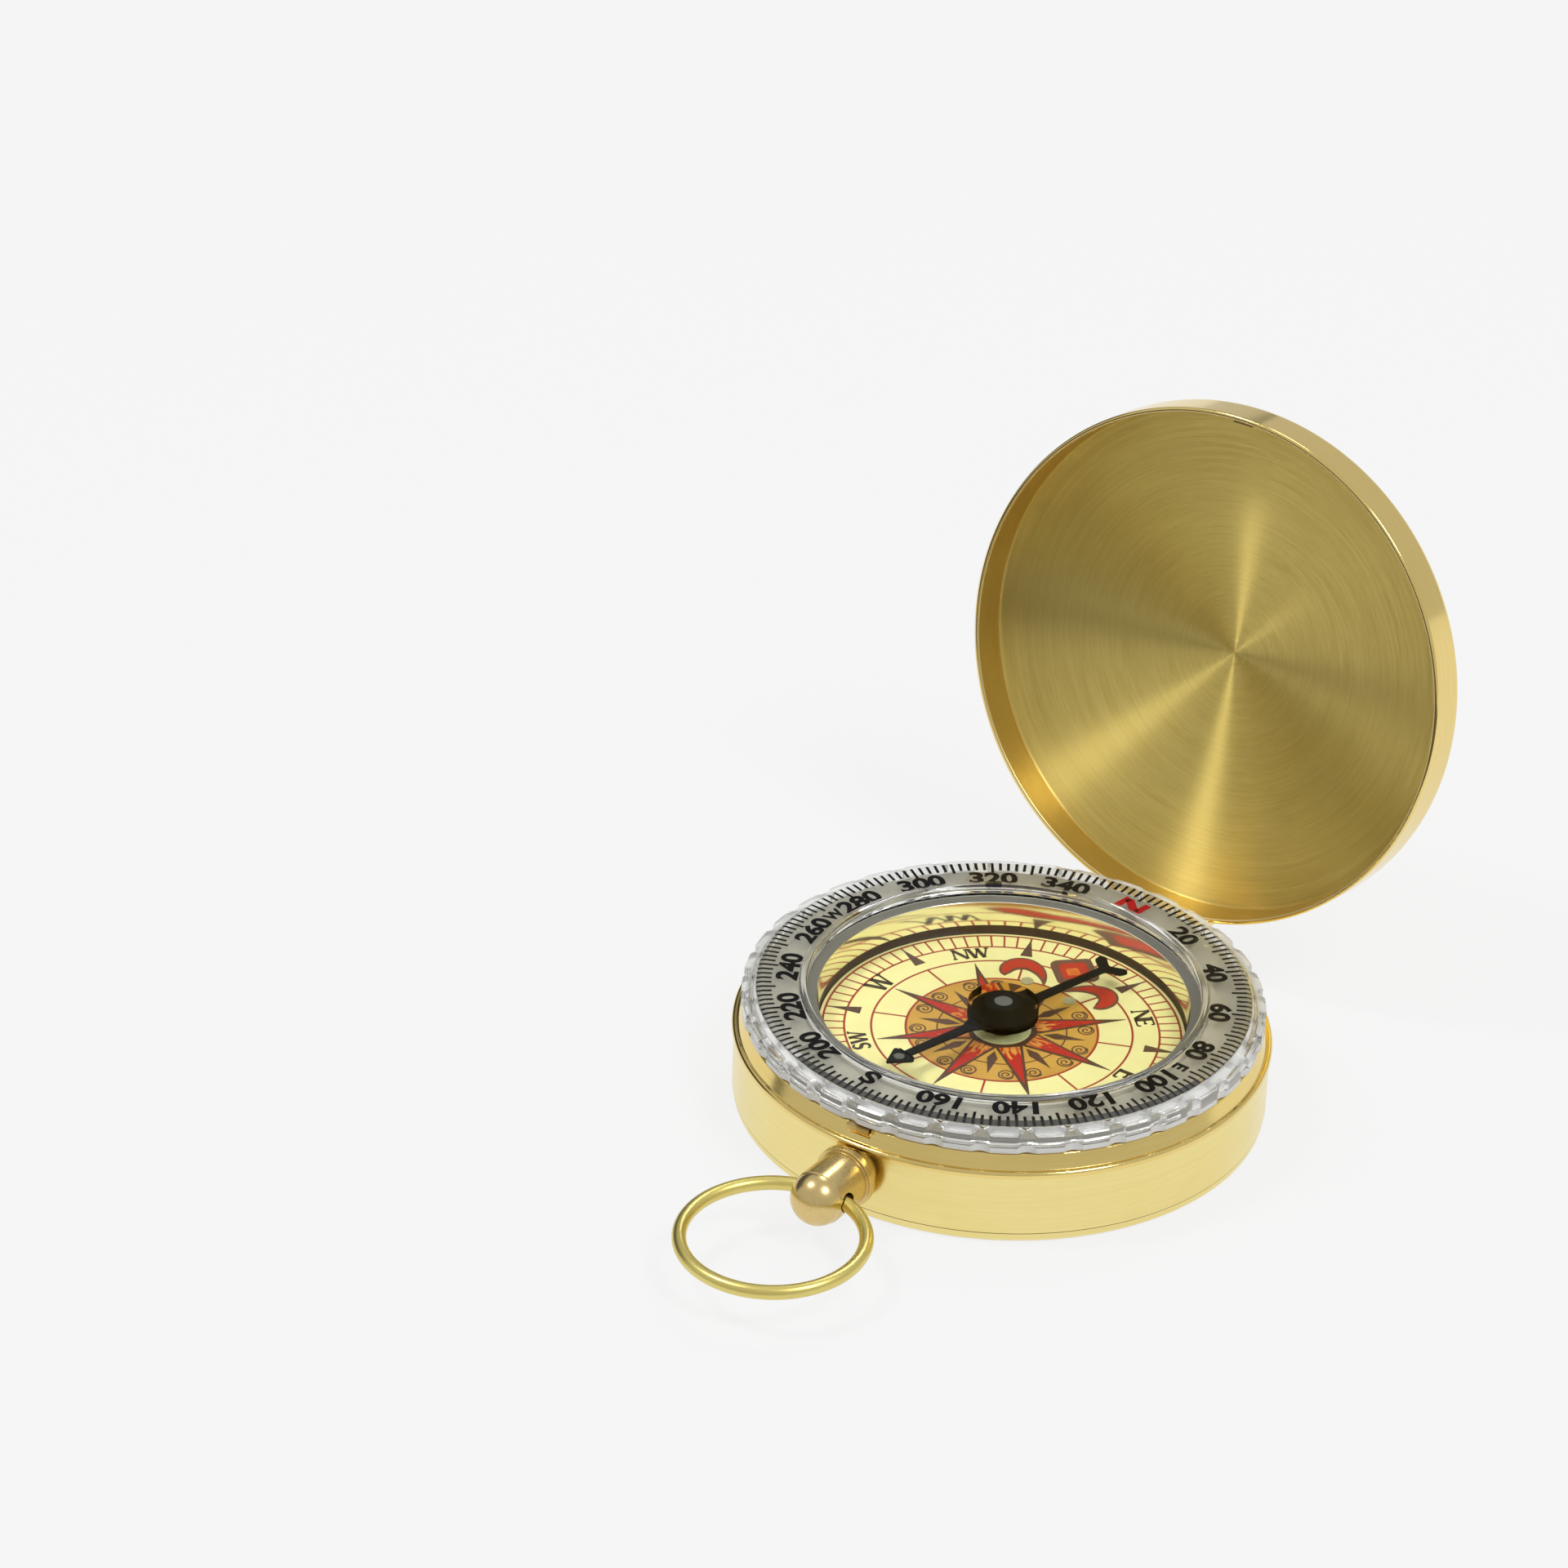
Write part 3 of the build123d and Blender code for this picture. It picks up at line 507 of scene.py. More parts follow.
# %% Brass and steel
CLOUD_RANGE, LINE_RANGE = (0.35, 0.75), (0.35, 0.65)   # noise levels over which smudges and lines grow
ROUGH_FROM, ROUGH_RISE = 0.85, 0.5                     # shares of a metal's roughness


def use_group(tree, group, **values):
    """Place a node group in a material with its own values."""
    node = tree.nodes.new("ShaderNodeGroup")
    node.node_tree = group
    for socket, value in values.items():
        node.inputs[socket.replace("_", " ")].default_value = value
    return node


def colour_mix(tree, share, low, high):
    """Colour that goes from low to high as share goes from 0 to 1. low may be another node's output."""
    node = tree.nodes.new("ShaderNodeMix")
    node.data_type = "RGBA"
    link_or_set(tree, (*low, 1) if isinstance(low, tuple) else low, node.inputs["A"])
    node.inputs["B"].default_value = (*high, 1)
    link_or_set(tree, share, node.inputs["Factor"])
    return node.outputs["Result"]


def mottle(tree, shader, share, colour, other, rough, rise):
    """As the share goes from 0 to 1, the shader's colour goes to the other and its roughness rises."""
    tree.links.new(colour_mix(tree, share, colour, other), shader.inputs["Base Color"])
    tree.links.new(math_node(tree, "MULTIPLY_ADD", share, rise, rough), shader.inputs["Roughness"])


def bump(tree, shader, height, distance):
    """Bump of a height, in metres, into the shader's normal."""
    node = tree.nodes.new("ShaderNodeBump")
    node.inputs["Distance"].default_value = distance
    tree.links.new(height, node.inputs["Height"])
    tree.links.new(node.outputs[0], shader.inputs["Normal"])


def metal(name, colour, tarnish, rough, smudge=0.3, rings_per_mm=3.0, ring=0.3, ring_depth=2e-7,
          grain_depth=1e-6, brushed=0.0):
    """Metal whose colour goes towards the tarnish in smudges and along the brush lines, whose roughness
    rises with them, and whose height is grain, scratches and lines. brushed is its anisotropy: the
    shine spreads a quarter turn from the lines."""
    material, tree, shader = new_material(name)
    shader.inputs["Metallic"].default_value = 1.0
    handled = use_group(tree, HANDLING)
    turned = use_group(tree, TURNING, Rings_per_mm=rings_per_mm)
    cloud = map_range(tree, handled.outputs["Mark"], *CLOUD_RANGE, 0.0, smudge)
    lines = map_range(tree, turned.outputs["Ring"], *LINE_RANGE, 0.0, ring)
    shade = math_node(tree, "ADD", cloud, lines)
    mottle(tree, shader, shade, colour, tarnish, rough * ROUGH_FROM, rough * ROUGH_RISE)
    rings = math_node(tree, "MULTIPLY", turned.outputs["Ring"], ring_depth / grain_depth)
    bump(tree, shader, math_node(tree, "ADD", rings, handled.outputs["Height"]), grain_depth)
    if brushed:
        shader.inputs["Anisotropic"].default_value = brushed
        shader.inputs["Anisotropic Rotation"].default_value = 0.25
        tangent = tree.nodes.new("ShaderNodeTangent")
        tangent.direction_type = "UV_MAP"
        tangent.uv_map = "turning"
        tree.links.new(tangent.outputs[0], shader.inputs["Tangent"])
    return material


WALL_BRASS = metal("wall_brass", (0.92, 0.78, 0.34), (0.84, 0.67, 0.22), 0.24, 0.25)
POLISHED_BRASS = metal("polished_brass", (0.88, 0.69, 0.26), (0.74, 0.52, 0.15), 0.11, 0.25)
MIRROR_BRASS = metal("mirror_brass", (0.96, 0.93, 0.78), (0.90, 0.83, 0.58), 0.10, 0.2, 2.0, 0.2,
                     ring_depth=1e-7, grain_depth=2e-7)
BRUSHED_BRASS = metal("brushed_brass", (0.87, 0.69, 0.22), (0.71, 0.54, 0.14), 0.43, 0.12, 4.0, 0.5,
                      ring_depth=4e-7, grain_depth=5e-7, brushed=1.0)
SATIN_BRASS = metal("satin_brass", (0.78, 0.62, 0.30), (0.64, 0.47, 0.19), 0.34, 0.3, 3.0, 0.3)
CROWN_BRASS = metal("crown_brass", (0.80, 0.63, 0.29), (0.62, 0.44, 0.17), 0.25, 0.35, 4.0, 0.4)
BOW_BRASS = metal("bow_brass", (0.81, 0.69, 0.23), (0.64, 0.51, 0.14), 0.34, 0.4, 1.0, 0.2, 2e-7, 3e-6)
SEAM_BRASS = metal("seam_brass", (0.22, 0.14, 0.05), (0.10, 0.06, 0.02), 0.5)
STEEL = metal("bright_steel", (0.72, 0.71, 0.68), (0.45, 0.43, 0.40), 0.16)
print("metals", [m.name for m in bpy.data.materials if "brass" in m.name])

# %% [markdown]
# Inks, plastics and clear pieces
#
# A printed mark is a thin, slightly uneven film, so its colour and gloss mottle a little. The clear
# bezel and crystal are acrylic: light passes into them for the camera, but lamps' shadow rays go
# straight through, or the dial below would be dark.

# %% Inks and plastics
ACRYLIC_IOR = 1.49
TUBE_IOR = 1.2        # the thin bearing bends less than a solid block would
FILM_RANGE, FILM_RISE, FILM_GRAIN = (0.3, 0.75), 0.15, 6000.0
CLEAR_RANGE, CLEAR_SMUDGE = (0.45, 0.95), 260.0
CLEAR_FROM, CLEAR_DIM = 0.4, 0.97     # share of the roughness where it is clean, and of the tint where not
SHEER_DIM = 0.92


def film(name, colour, other, rough, scale=900.0, depth=2e-6, shine=0.25):
    """Printed or painted film: its colour mottles between two, and its gloss and height with it."""
    material, tree, shader = new_material(name)
    shader.inputs["Specular IOR Level"].default_value = shine
    handled = use_group(tree, HANDLING, Smudge_Scale=scale, Grain_Scale=FILM_GRAIN)
    share = map_range(tree, handled.outputs["Mark"], *FILM_RANGE, 0.0, 1.0)
    mottle(tree, shader, share, colour, other, rough, FILM_RISE)
    bump(tree, shader, handled.outputs["Height"], depth)
    return material


def dimmed(colour, share):
    """The same colour, darker."""
    return tuple(share * part for part in colour)


def clear(name, tint, rough, bend=ACRYLIC_IOR, coated=0.0):
    """Clear plastic with faint hairlines; a lamp's shadow rays pass straight through it. bend is its
    refractive index, and coated the share of it that bends light but mirrors none, as a coating does."""
    material, tree, shader = new_material(name)
    shader.inputs["Transmission Weight"].default_value = 1.0
    shader.inputs["IOR"].default_value = bend
    handled = use_group(tree, HANDLING, Smudge_Scale=CLEAR_SMUDGE)
    share = map_range(tree, handled.outputs["Mark"], *CLEAR_RANGE, 0.0, 1.0)
    mottle(tree, shader, share, tint, dimmed(tint, CLEAR_DIM), rough * CLEAR_FROM, rough)
    bent = tree.nodes.new("ShaderNodeBsdfRefraction")
    bent.inputs["Color"].default_value = (*tint, 1)
    bent.inputs["Roughness"].default_value = rough * CLEAR_FROM
    bent.inputs["IOR"].default_value = bend
    through = tree.nodes.new("ShaderNodeBsdfTransparent")
    shadow_ray = tree.nodes.new("ShaderNodeLightPath").outputs["Is Shadow Ray"]
    body = shader_mix(tree, coated, shader.outputs[0], bent.outputs[0])
    both = shader_mix(tree, shadow_ray, body, through.outputs[0])
    tree.links.new(both, tree.nodes["Material Output"].inputs["Surface"])
    return material


def sheer(name, colour, share):
    """Thin clear film: a glossy film of which only a share is solid."""
    material = film(name, colour, dimmed(colour, SHEER_DIM), 0.25, 400.0)
    material.node_tree.nodes["Principled BSDF"].inputs["Alpha"].default_value = share
    return material


CLEAR_BEZEL = clear("clear_bezel", (0.975, 0.98, 0.97), 0.03)
CLEAR_PLATE = clear("clear_plate", (0.975, 0.98, 0.97), 0.03, coated=0.75)
CLEAR_CRYSTAL = clear("clear_crystal", (0.985, 0.99, 0.98), 0.01, coated=0.88)
CLEAR_BEARING = clear("clear_bearing", (0.97, 0.88, 0.68), 0.03, TUBE_IOR, 0.8)
JEWEL = clear("jewel", (0.55, 0.10, 0.14), 0.02)
DIAL_PAPER = film("dial_paper", (0.84, 0.79, 0.36), (0.80, 0.73, 0.30), 0.38, 300.0)
LUME = film("lume_paint", (0.64, 0.66, 0.34), (0.55, 0.56, 0.26), 0.55, 1500.0)
LUME_DOT = film("lume_dot", (0.13, 0.13, 0.11), (0.10, 0.10, 0.085), 0.5, 3000.0, 2e-6, 0.1)
PALE_DOT = film("pale_dot", (0.42, 0.39, 0.20), (0.35, 0.32, 0.16), 0.5, 3000.0)
BLACK_PAINT = film("black_paint", (0.007, 0.006, 0.005), (0.011, 0.010, 0.009), 0.45, 800.0, 2e-6, 0.03)
BLACK_INK = film("black_ink", (0.010, 0.009, 0.009), (0.018, 0.016, 0.016), 0.5, 1200.0, 2e-6, 0.0)
RED_INK = film("red_ink", (0.62, 0.018, 0.022), (0.50, 0.014, 0.018), 0.5, 1200.0, 2e-6, 0.0)
SCALE_FILM = sheer("scale_film", (0.60, 0.58, 0.50), 0.12)
NECK_GREY = film("neck_grey", (0.40, 0.39, 0.35), (0.35, 0.34, 0.30), 0.45, 220.0)
LEDGE_GREY = film("ledge_grey", (0.56, 0.54, 0.46), (0.50, 0.48, 0.40), 0.45, 220.0)
# Painted highlight: opaque glossy white for the bezel's foot, standing in for the light that its clear edge throws
# back.
FOOT_HIGHLIGHT_PAINT = film("foot_painted_highlight", (0.95, 0.95, 0.94), (0.88, 0.88, 0.86), 0.3, 600.0, 2e-6, 0.8)
# Painted shade: dark brown for the strip at the foot of the bowl's mirror wall, where shade falls in the gap
# beside the dial.
FOOT_SHADE_PAINT = film("foot_painted_shade", (0.055, 0.032, 0.016), (0.042, 0.024, 0.012), 0.35, 700.0)
DECK_GREY = film("deck_grey", (0.42, 0.395, 0.31), (0.37, 0.345, 0.265), 0.45, 220.0)
print("films and plastics made:", len(bpy.data.materials), "materials in all")

# %% [markdown]
# The case
#
# The band is turned from tube: a straight wall, a round bead that the lid's lip meets, a sloping
# shoulder, and a neck for the bezel. A stack of primitive rings would leave hard lines, so one outline
# with small fillets goes round. Above the crown a notch is pressed into the shoulder for the latch.

# %% Case band and back cover
band_low, band_high = node_box("case_band")
back_high = node_box("back_cover")[1]
latch_high = node_box("latch_hook")[1]
CASE_R, BACK_H, NECK_Z = band_high[0], band_low[2], band_high[2]
BEAD_OUT = 0.2        # how far the bead stands out from the band
BAND_R = CASE_R - BEAD_OUT
WALL_T = 0.7
BEAD_Z, BEAD_TOP = 7.0, 7.65
SHOULDER_R, SHOULDER_TOP_R, SHOULDER_TOP_Z = BAND_R - 0.3, BAND_R - 0.9, BEAD_TOP + 1.35
NECK_R = SHOULDER_TOP_R - 1.1
DECK_HOLE, DECK_T = 18.82, 0.7
DECK_UNDER = NECK_Z - DECK_T
NOTCH_FLOOR, NOTCH_HALF = latch_high[2] - 0.45, latch_high[0] + 0.1
NOTCH_IN = 22.95
NOTCH_EDGE = 0.04     # width of the notch's steep side
SEAM_W = 0.12         # rounding of the band's edge at its seam with the back
FIT = 0.02            # play between pieces that fit into each other
wall_in, neck_in, shoulder_under = BAND_R - WALL_T, NECK_R - WALL_T, SHOULDER_TOP_Z - WALL_T
band_outline = rounded([
    (wall_in, BACK_H, 0.05), (BAND_R, BACK_H, SEAM_W), (BAND_R, BEAD_Z, 0.04), (CASE_R, BEAD_Z, 0.15),
    (CASE_R, BEAD_TOP, 0.32), (SHOULDER_R, BEAD_TOP, 0.06), (SHOULDER_TOP_R, SHOULDER_TOP_Z, 0.15),
    (NECK_R, SHOULDER_TOP_Z, 0.05), (NECK_R, NECK_Z, 0.08), (DECK_HOLE, NECK_Z, 0.04),
    (DECK_HOLE, DECK_UNDER, 0.04), (neck_in, DECK_UNDER, 0.05), (neck_in, shoulder_under, 0.05),
    (SHOULDER_TOP_R - WALL_T, shoulder_under, 0.05), (wall_in, BEAD_Z, 0.1)])


def notched_band(outline):
    """The lathe's surface with a notch at the crown's side: between the notch's edges, points of the
    shoulder above its floor drop to that floor. Four more columns give the notch its steep sides."""
    even = np.linspace(0, 2 * np.pi, TURNED, endpoint=False)
    half, edge = NOTCH_HALF / SHOULDER_TOP_R, NOTCH_EDGE / SHOULDER_TOP_R
    crown_side = 1.5 * np.pi
    sides = crown_side + np.array([-half - edge, -half, half, half + edge])
    angles = np.sort(np.concatenate([even, sides]))
    points = lathe(outline, angles)
    inside = np.abs(angles - crown_side) < half + edge / 2
    radius, height = outline.T
    cut = inside[:, None] & (radius > NOTCH_IN) & (height > NOTCH_FLOOR)
    points[..., 2] = np.where(cut, NOTCH_FLOOR, points[..., 2])
    return points


band_r, band_z = band_outline.T
on_neck = (band_z > SHOULDER_TOP_Z + 0.05) & (band_r < NECK_R + 0.01)
on_deck = on_neck & (band_z > NECK_Z - 0.05)
in_seam = (band_z < BACK_H + 0.9 * SEAM_W) & (band_r > BAND_R - 2 * SEAM_W)
band_finish = np.where(band_z > BEAD_Z - 0.1, 1, 0) + on_neck + on_deck + 4 * in_seam
grid_piece("case_band_turned", notched_band(band_outline),
           [WALL_BRASS, POLISHED_BRASS, NECK_GREY, DECK_GREY, SEAM_BRASS], "case", "case_brass", "case_band",
           close_cols=True, bands=band_finish)

BACK_R, SNAP_TOP = back_high[0], back_high[2]
BACK_EDGE, BACK_T = 0.4, 0.8
snap_r = wall_in - FIT
back_outline = rounded([
    (0, 0, 0), (BACK_R - BACK_EDGE, 0, 0.15), (BACK_R, BACK_EDGE, 0.15), (BACK_R, BACK_H, 0.06),
    (snap_r, BACK_H, 0.03), (snap_r, SNAP_TOP, 0.06), (snap_r - WALL_T, SNAP_TOP, 0.06),
    (snap_r - WALL_T, BACK_T, 0.06), (0, BACK_T, 0)], closed=False)
grid_piece("back_cover_pressed", lathe(back_outline), WALL_BRASS, "case", "case_brass", "back_cover")

# %% [markdown]
# The bowl and the crystal
#
# The bowl's wall is polished like a mirror, and repeats the dial's edge above a dark strip of painted shade at its
# foot, where it meets the dial.
# The crystal is a plain disc of acrylic seated in the bowl's thin rim. Both are turned outlines.

# %% Bowl, crystal and pivot post
bowl_low, bowl_high = node_box("compass_bowl")
crystal_low, crystal_high = node_box("crystal")
dial_low, dial_high = node_box("dial_plate")
CRYSTAL_R, CRYSTAL_Z, CRYSTAL_TOP = crystal_high[0], crystal_low[2], crystal_high[2]
DIAL_R, DIAL_Z, DIAL_TOP = dial_high[0], dial_low[2], dial_high[2]
MIRROR_R = DIAL_R + 0.1
MIRROR_FLARE = 0.15   # how far the wall bends outwards on its way up
MIRROR_STEPS = 30
SHADE_STRIP_TOP = DIAL_TOP + 0.9   # upper edge of the strip of painted shade at the wall's foot
BOWL_OUT = DECK_HOLE - FIT
SEAT_R = CRYSTAL_R + FIT
RIM_R, RIM_Z = bowl_high[0], DECK_UNDER - 0.6   # flange that holds the bowl under the deck
bowl_outside = rounded([
    (0, bowl_low[2], 0), (BOWL_OUT, bowl_low[2], 0.2), (BOWL_OUT, RIM_Z, 0.1), (RIM_R, RIM_Z, 0.1),
    (RIM_R, DECK_UNDER, 0.05), (BOWL_OUT, DECK_UNDER, 0.02), (BOWL_OUT, bowl_high[2], 0.06),
    (SEAT_R, bowl_high[2], 0.06), (SEAT_R, CRYSTAL_Z, 0)], closed=False)


def mirror_wall():
    """The polished wall from its top edge down: its radius grows with the square of the height above the
    strip of painted shade at its foot, which stands straight."""
    rise = np.linspace(1, 0, MIRROR_STEPS)
    radius = MIRROR_R + MIRROR_FLARE * rise ** 2
    height = SHADE_STRIP_TOP + (CRYSTAL_Z - SHADE_STRIP_TOP) * rise
    return np.concatenate([np.stack([radius, height], axis=1), [(MIRROR_R, DIAL_Z), (0, DIAL_Z)]])


bowl_outline = np.concatenate([bowl_outside, mirror_wall()])
on_rim = np.arange(len(bowl_outline)) < len(bowl_outside)
# The strip at the wall's foot carries the painted shade.
in_shaded_foot = (np.abs(bowl_outline[:, 0] - MIRROR_R) < 1e-6) & (bowl_outline[:, 1] < SHADE_STRIP_TOP + 1e-6)
grid_piece("bowl_turned", lathe(bowl_outline), [MIRROR_BRASS, LEDGE_GREY, FOOT_SHADE_PAINT],
           "case", "bowl_brass", "compass_bowl", bands=on_rim + 2 * in_shaded_foot)
crystal_outline = rounded([
    (0, CRYSTAL_Z, 0), (CRYSTAL_R, CRYSTAL_Z, 0.08), (CRYSTAL_R, CRYSTAL_TOP, 0.12), (0, CRYSTAL_TOP, 0)],
    closed=False)
grid_piece("crystal_disc", lathe(crystal_outline), CLEAR_CRYSTAL, "case", "clear_crystal", "crystal")

post_low, post_high = node_box("pivot_post")
lume_low, lume_high = node_box("lume_disc")
pin_high = node_box("pivot_pin")[1]
POST_R = 0.9
POST_HEAD_R, POST_Z, POST_TOP = post_high[0], post_low[2], post_high[2]
POST_FOOT_TOP = POST_Z + 0.4
POST_TAPER = 0.85
LUME_R, LUME_TOP = lume_high[0], lume_high[2]
post_outline = rounded([
    (0, POST_Z, 0), (POST_HEAD_R, POST_Z, 0.1), (POST_HEAD_R, POST_FOOT_TOP, 0.1),
    (POST_R, POST_FOOT_TOP, 0.02), (POST_R, LUME_TOP, 0.02), (POST_HEAD_R, LUME_TOP, 0.08),
    (POST_HEAD_R * POST_TAPER, POST_TOP, 0.15), (0, POST_TOP, 0)], closed=False)
grid_piece("pivot_post_turned", lathe(post_outline), CLEAR_BEARING, "case", "clear_plastic", "pivot_post")
PIN_R, PIN_FOOT, PIN_TIP = pin_high[0], POST_TOP - 0.2, pin_high[2]
PIN_CONE = 0.45
pin_outline = rounded([
    (0, PIN_FOOT, 0), (PIN_R, PIN_FOOT, 0.02), (PIN_R, PIN_TIP - PIN_CONE, 0.05), (0, PIN_TIP, 0)],
    closed=False)
grid_piece("pivot_pin_ground", lathe(pin_outline), STEEL, "case", "steel", "pivot_pin")

# %% [markdown]
# Flat shapes for ink
#
# The rose, the figures and the ticks are ink a hundredth of a millimetre thick. An image would be the
# quick way, but flat shapes stay sharp at any size and ride on their body. Three builders do it all: a
# ribbon along a line, a slab inside an outline, and spokes, which are many short ribbons at once.

# %% Ribbons, slabs and spokes


def polar(radius, azimuth_deg):
    """Point at a radius and an azimuth, clockwise from north as seen from above."""
    a = np.radians(azimuth_deg)
    return np.stack([radius * np.sin(a), radius * np.cos(a)], axis=-1)


def slab(outline, low, high):
    """Plate inside a closed outline: its lower and upper face, and a quad for each step of the edge."""
    outline = np.asarray(outline, float)
    n = len(outline)
    i = np.arange(n)
    points = np.concatenate([np.hstack([outline, np.full((n, 1), z)]) for z in (low, high)])
    edge = np.stack([i, (i + 1) % n, (i + 1) % n + n, i + n], axis=1).tolist()
    return points, edge + [(n - 1 - i).tolist(), (i + n).tolist()]


def ribbon(path, width, low, high, closed=False):
    """Flat strip along a line: at each point the two edges lie half the width to either side, square to
    the line's direction there."""
    path = np.asarray(path, float)
    if closed:
        along = np.roll(path, -1, axis=0) - np.roll(path, 1, axis=0)
    else:
        along = np.gradient(path, axis=0)
    side = np.stack([-along[:, 1], along[:, 0]], axis=1)
    side *= np.reshape(width, (-1, 1)) / 2 / np.linalg.norm(side, axis=1, keepdims=True)
    levels = np.stack([path - side, path + side, path + side, path - side], axis=1)
    heights = np.broadcast_to(np.array([low, low, high, high])[None, :, None], levels.shape[:2] + (1,))
    points = np.concatenate([levels, heights], axis=-1)
    quads = grid_faces(len(path), 4, closed, True)[0].tolist()
    if not closed:
        last = 4 * (len(path) - 1)
        quads += [[0, 1, 2, 3], [last + 3, last + 2, last + 1, last]]
    return points.reshape(-1, 3), quads


def ring(radius, width, low, high, count=180):
    """Closed ribbon round a circle."""
    return ribbon(polar(radius, np.linspace(0, 360, count, endpoint=False)), width, low, high, True)


def spokes(azimuths, inner, outer, width, low, high):
    """Short radial strips: for each azimuth, a box from the inner to the outer radius."""
    azimuths = np.asarray(azimuths, float)
    tangent = polar(width / 2, azimuths + 90)
    near = polar(np.broadcast_to(inner, azimuths.shape), azimuths)
    far = polar(np.broadcast_to(outer, azimuths.shape), azimuths)
    flat = np.stack([near - tangent, near + tangent, far + tangent, far - tangent], axis=1)
    heights = np.ones(flat.shape[:2] + (1,))
    points = np.concatenate([np.concatenate([flat, heights * z], axis=-1) for z in (low, high)], axis=1)
    box = np.array([[3, 2, 1, 0], [4, 5, 6, 7], [0, 1, 5, 4], [1, 2, 6, 5], [2, 3, 7, 6], [3, 0, 4, 7]])
    quads = (8 * np.arange(len(azimuths))[:, None, None] + box).reshape(-1, 4)
    return points.reshape(-1, 3), quads.tolist()


def turned_flat(shape, azimuth_deg, radius=0.0):
    """Set a shape drawn round the origin, tops to +Y, at a radius and an azimuth with tops outwards."""
    points, faces = shape
    a = np.radians(azimuth_deg)
    moved = points + (0, radius, 0)
    x = moved[:, 0] * np.cos(a) + moved[:, 1] * np.sin(a)
    y = -moved[:, 0] * np.sin(a) + moved[:, 1] * np.cos(a)
    return np.stack([x, y, moved[:, 2]], axis=1), faces


def joined(name, shapes):
    """One mesh of many shapes, each given as its points in millimetres and its faces."""
    starts = np.cumsum([0] + [len(points) for points, faces in shapes])
    points = np.concatenate([points for points, faces in shapes])
    faces = [[k + start for k in face] for start, (_, shape) in zip(starts, shapes) for face in shape]
    mesh = bpy.data.meshes.new(name)
    mesh.from_pydata(points * MM, [], faces)
    return mesh


print("ink builders ready")

# %% [markdown]
# The dial
#
# The dial carries a compass rose, a traditional figure: a disc with flame-like points, small dark points
# between them, little spirals, a ring of ticks, letters for the quarters, and a lily at north. Each ink
# lies in its own thin layer, one above the other, as a printer would lay them.

# %% Dial plate and inks
INK = 0.012           # thickness of one layer of ink
SUNK = 0.004          # how far ink reaches into what it lies on
dial_outline = washer(POST_R + FIT, DIAL_R, DIAL_Z, DIAL_TOP, (0.02, 0.05, 0.05, 0.02))
lume_outline = washer(POST_R + FIT, LUME_R, lume_low[2], LUME_TOP, (0.02, 0.02, 0.06, 0.02))
grid_piece("dial_card", lathe(dial_outline), DIAL_PAPER, "case", "dial_print", "dial_plate", close_cols=True)
grid_piece("lume_disc_painted", lathe(lume_outline), LUME, "case", "lume", "lume_disc", close_cols=True)

LINE_INK = film("line_ink", (0.38, 0.045, 0.018), (0.30, 0.035, 0.014), 0.4, 2500.0)
BROWN_INK = film("brown_ink", (0.105, 0.050, 0.028), (0.080, 0.037, 0.021), 0.4, 2500.0)
LETTER_INK = film("letter_ink", (0.060, 0.035, 0.014), (0.040, 0.024, 0.010), 0.4, 2500.0)
PETAL_BORDER = film("petal_border", (0.165, 0.074, 0.042), (0.130, 0.056, 0.032), 0.4, 2500.0)
PETAL_RED = film("petal_red", (0.49, 0.025, 0.011), (0.42, 0.040, 0.012), 0.38, 1400.0)
OCHRE_INK = film("ochre_ink", (0.60, 0.345, 0.062), (0.50, 0.275, 0.040), 0.4, 220.0)
GLOW_INK = film("glow_ink", (0.70, 0.22, 0.030), (0.58, 0.10, 0.018), 0.4, 1500.0)
FLAME_YELLOW = (0.72, 0.33, 0.06)
FLAME_FROM, FLAME_TO = 4.0, 7.6
FLAME_DRAWN = 0.25    # how much the tongues are drawn out along the radius
FLAME_LIFT = 0.45     # how much the middle of the rose favours yellow
FLAME_EDGE = (0.86, 1.0)
FLAME_SCALE = 3600.0


def flame_ink():
    """Red ink with yellow tongues that fade out from the rose's middle: noise drawn out along the
    radius, pushed down as the distance from the axis grows."""
    material = film("flame_ink", (0.47, 0.022, 0.011), (0.39, 0.018, 0.009), 0.38, 2500.0)
    tree = material.node_tree
    base = tree.nodes["Principled BSDF"].inputs["Base Color"]
    red = base.links[0].from_socket
    apart = tree.nodes.new("ShaderNodeSeparateXYZ")
    tree.links.new(tree.nodes.new("ShaderNodeTexCoord").outputs["Object"], apart.inputs[0])
    x, y = apart.outputs["X"], apart.outputs["Y"]
    squares = math_node(tree, "ADD", math_node(tree, "MULTIPLY", x, x), math_node(tree, "MULTIPLY", y, y))
    radius = math_node(tree, "SQRT", squares)
    drawn = tree.nodes.new("ShaderNodeCombineXYZ")
    around = math_node(tree, "MULTIPLY", math_node(tree, "ARCTAN2", y, x), FLAME_FROM * MM)
    tree.links.new(around, drawn.inputs["X"])
    tree.links.new(math_node(tree, "MULTIPLY", radius, FLAME_DRAWN), drawn.inputs["Y"])
    tongues = noise_node(tree, drawn.outputs[0], FLAME_SCALE, 1.0)
    outward = map_range(tree, radius, FLAME_FROM * MM, FLAME_TO * MM, FLAME_LIFT, 0.0)
    share = map_range(tree, math_node(tree, "ADD", outward, tongues), *FLAME_EDGE, 0.0, 1.0)
    tree.links.new(colour_mix(tree, share, red, FLAME_YELLOW), base)
    return material


FLAME_INK = flame_ink()


def print_dial(name, shapes, material):
    """One ink of the dial."""
    place(name, joined(name, shapes), material, "case", "dial_print")


def layer(n):
    """Lower and upper height of the nth ink layer on the dial."""
    return DIAL_TOP - SUNK, DIAL_TOP + n * INK


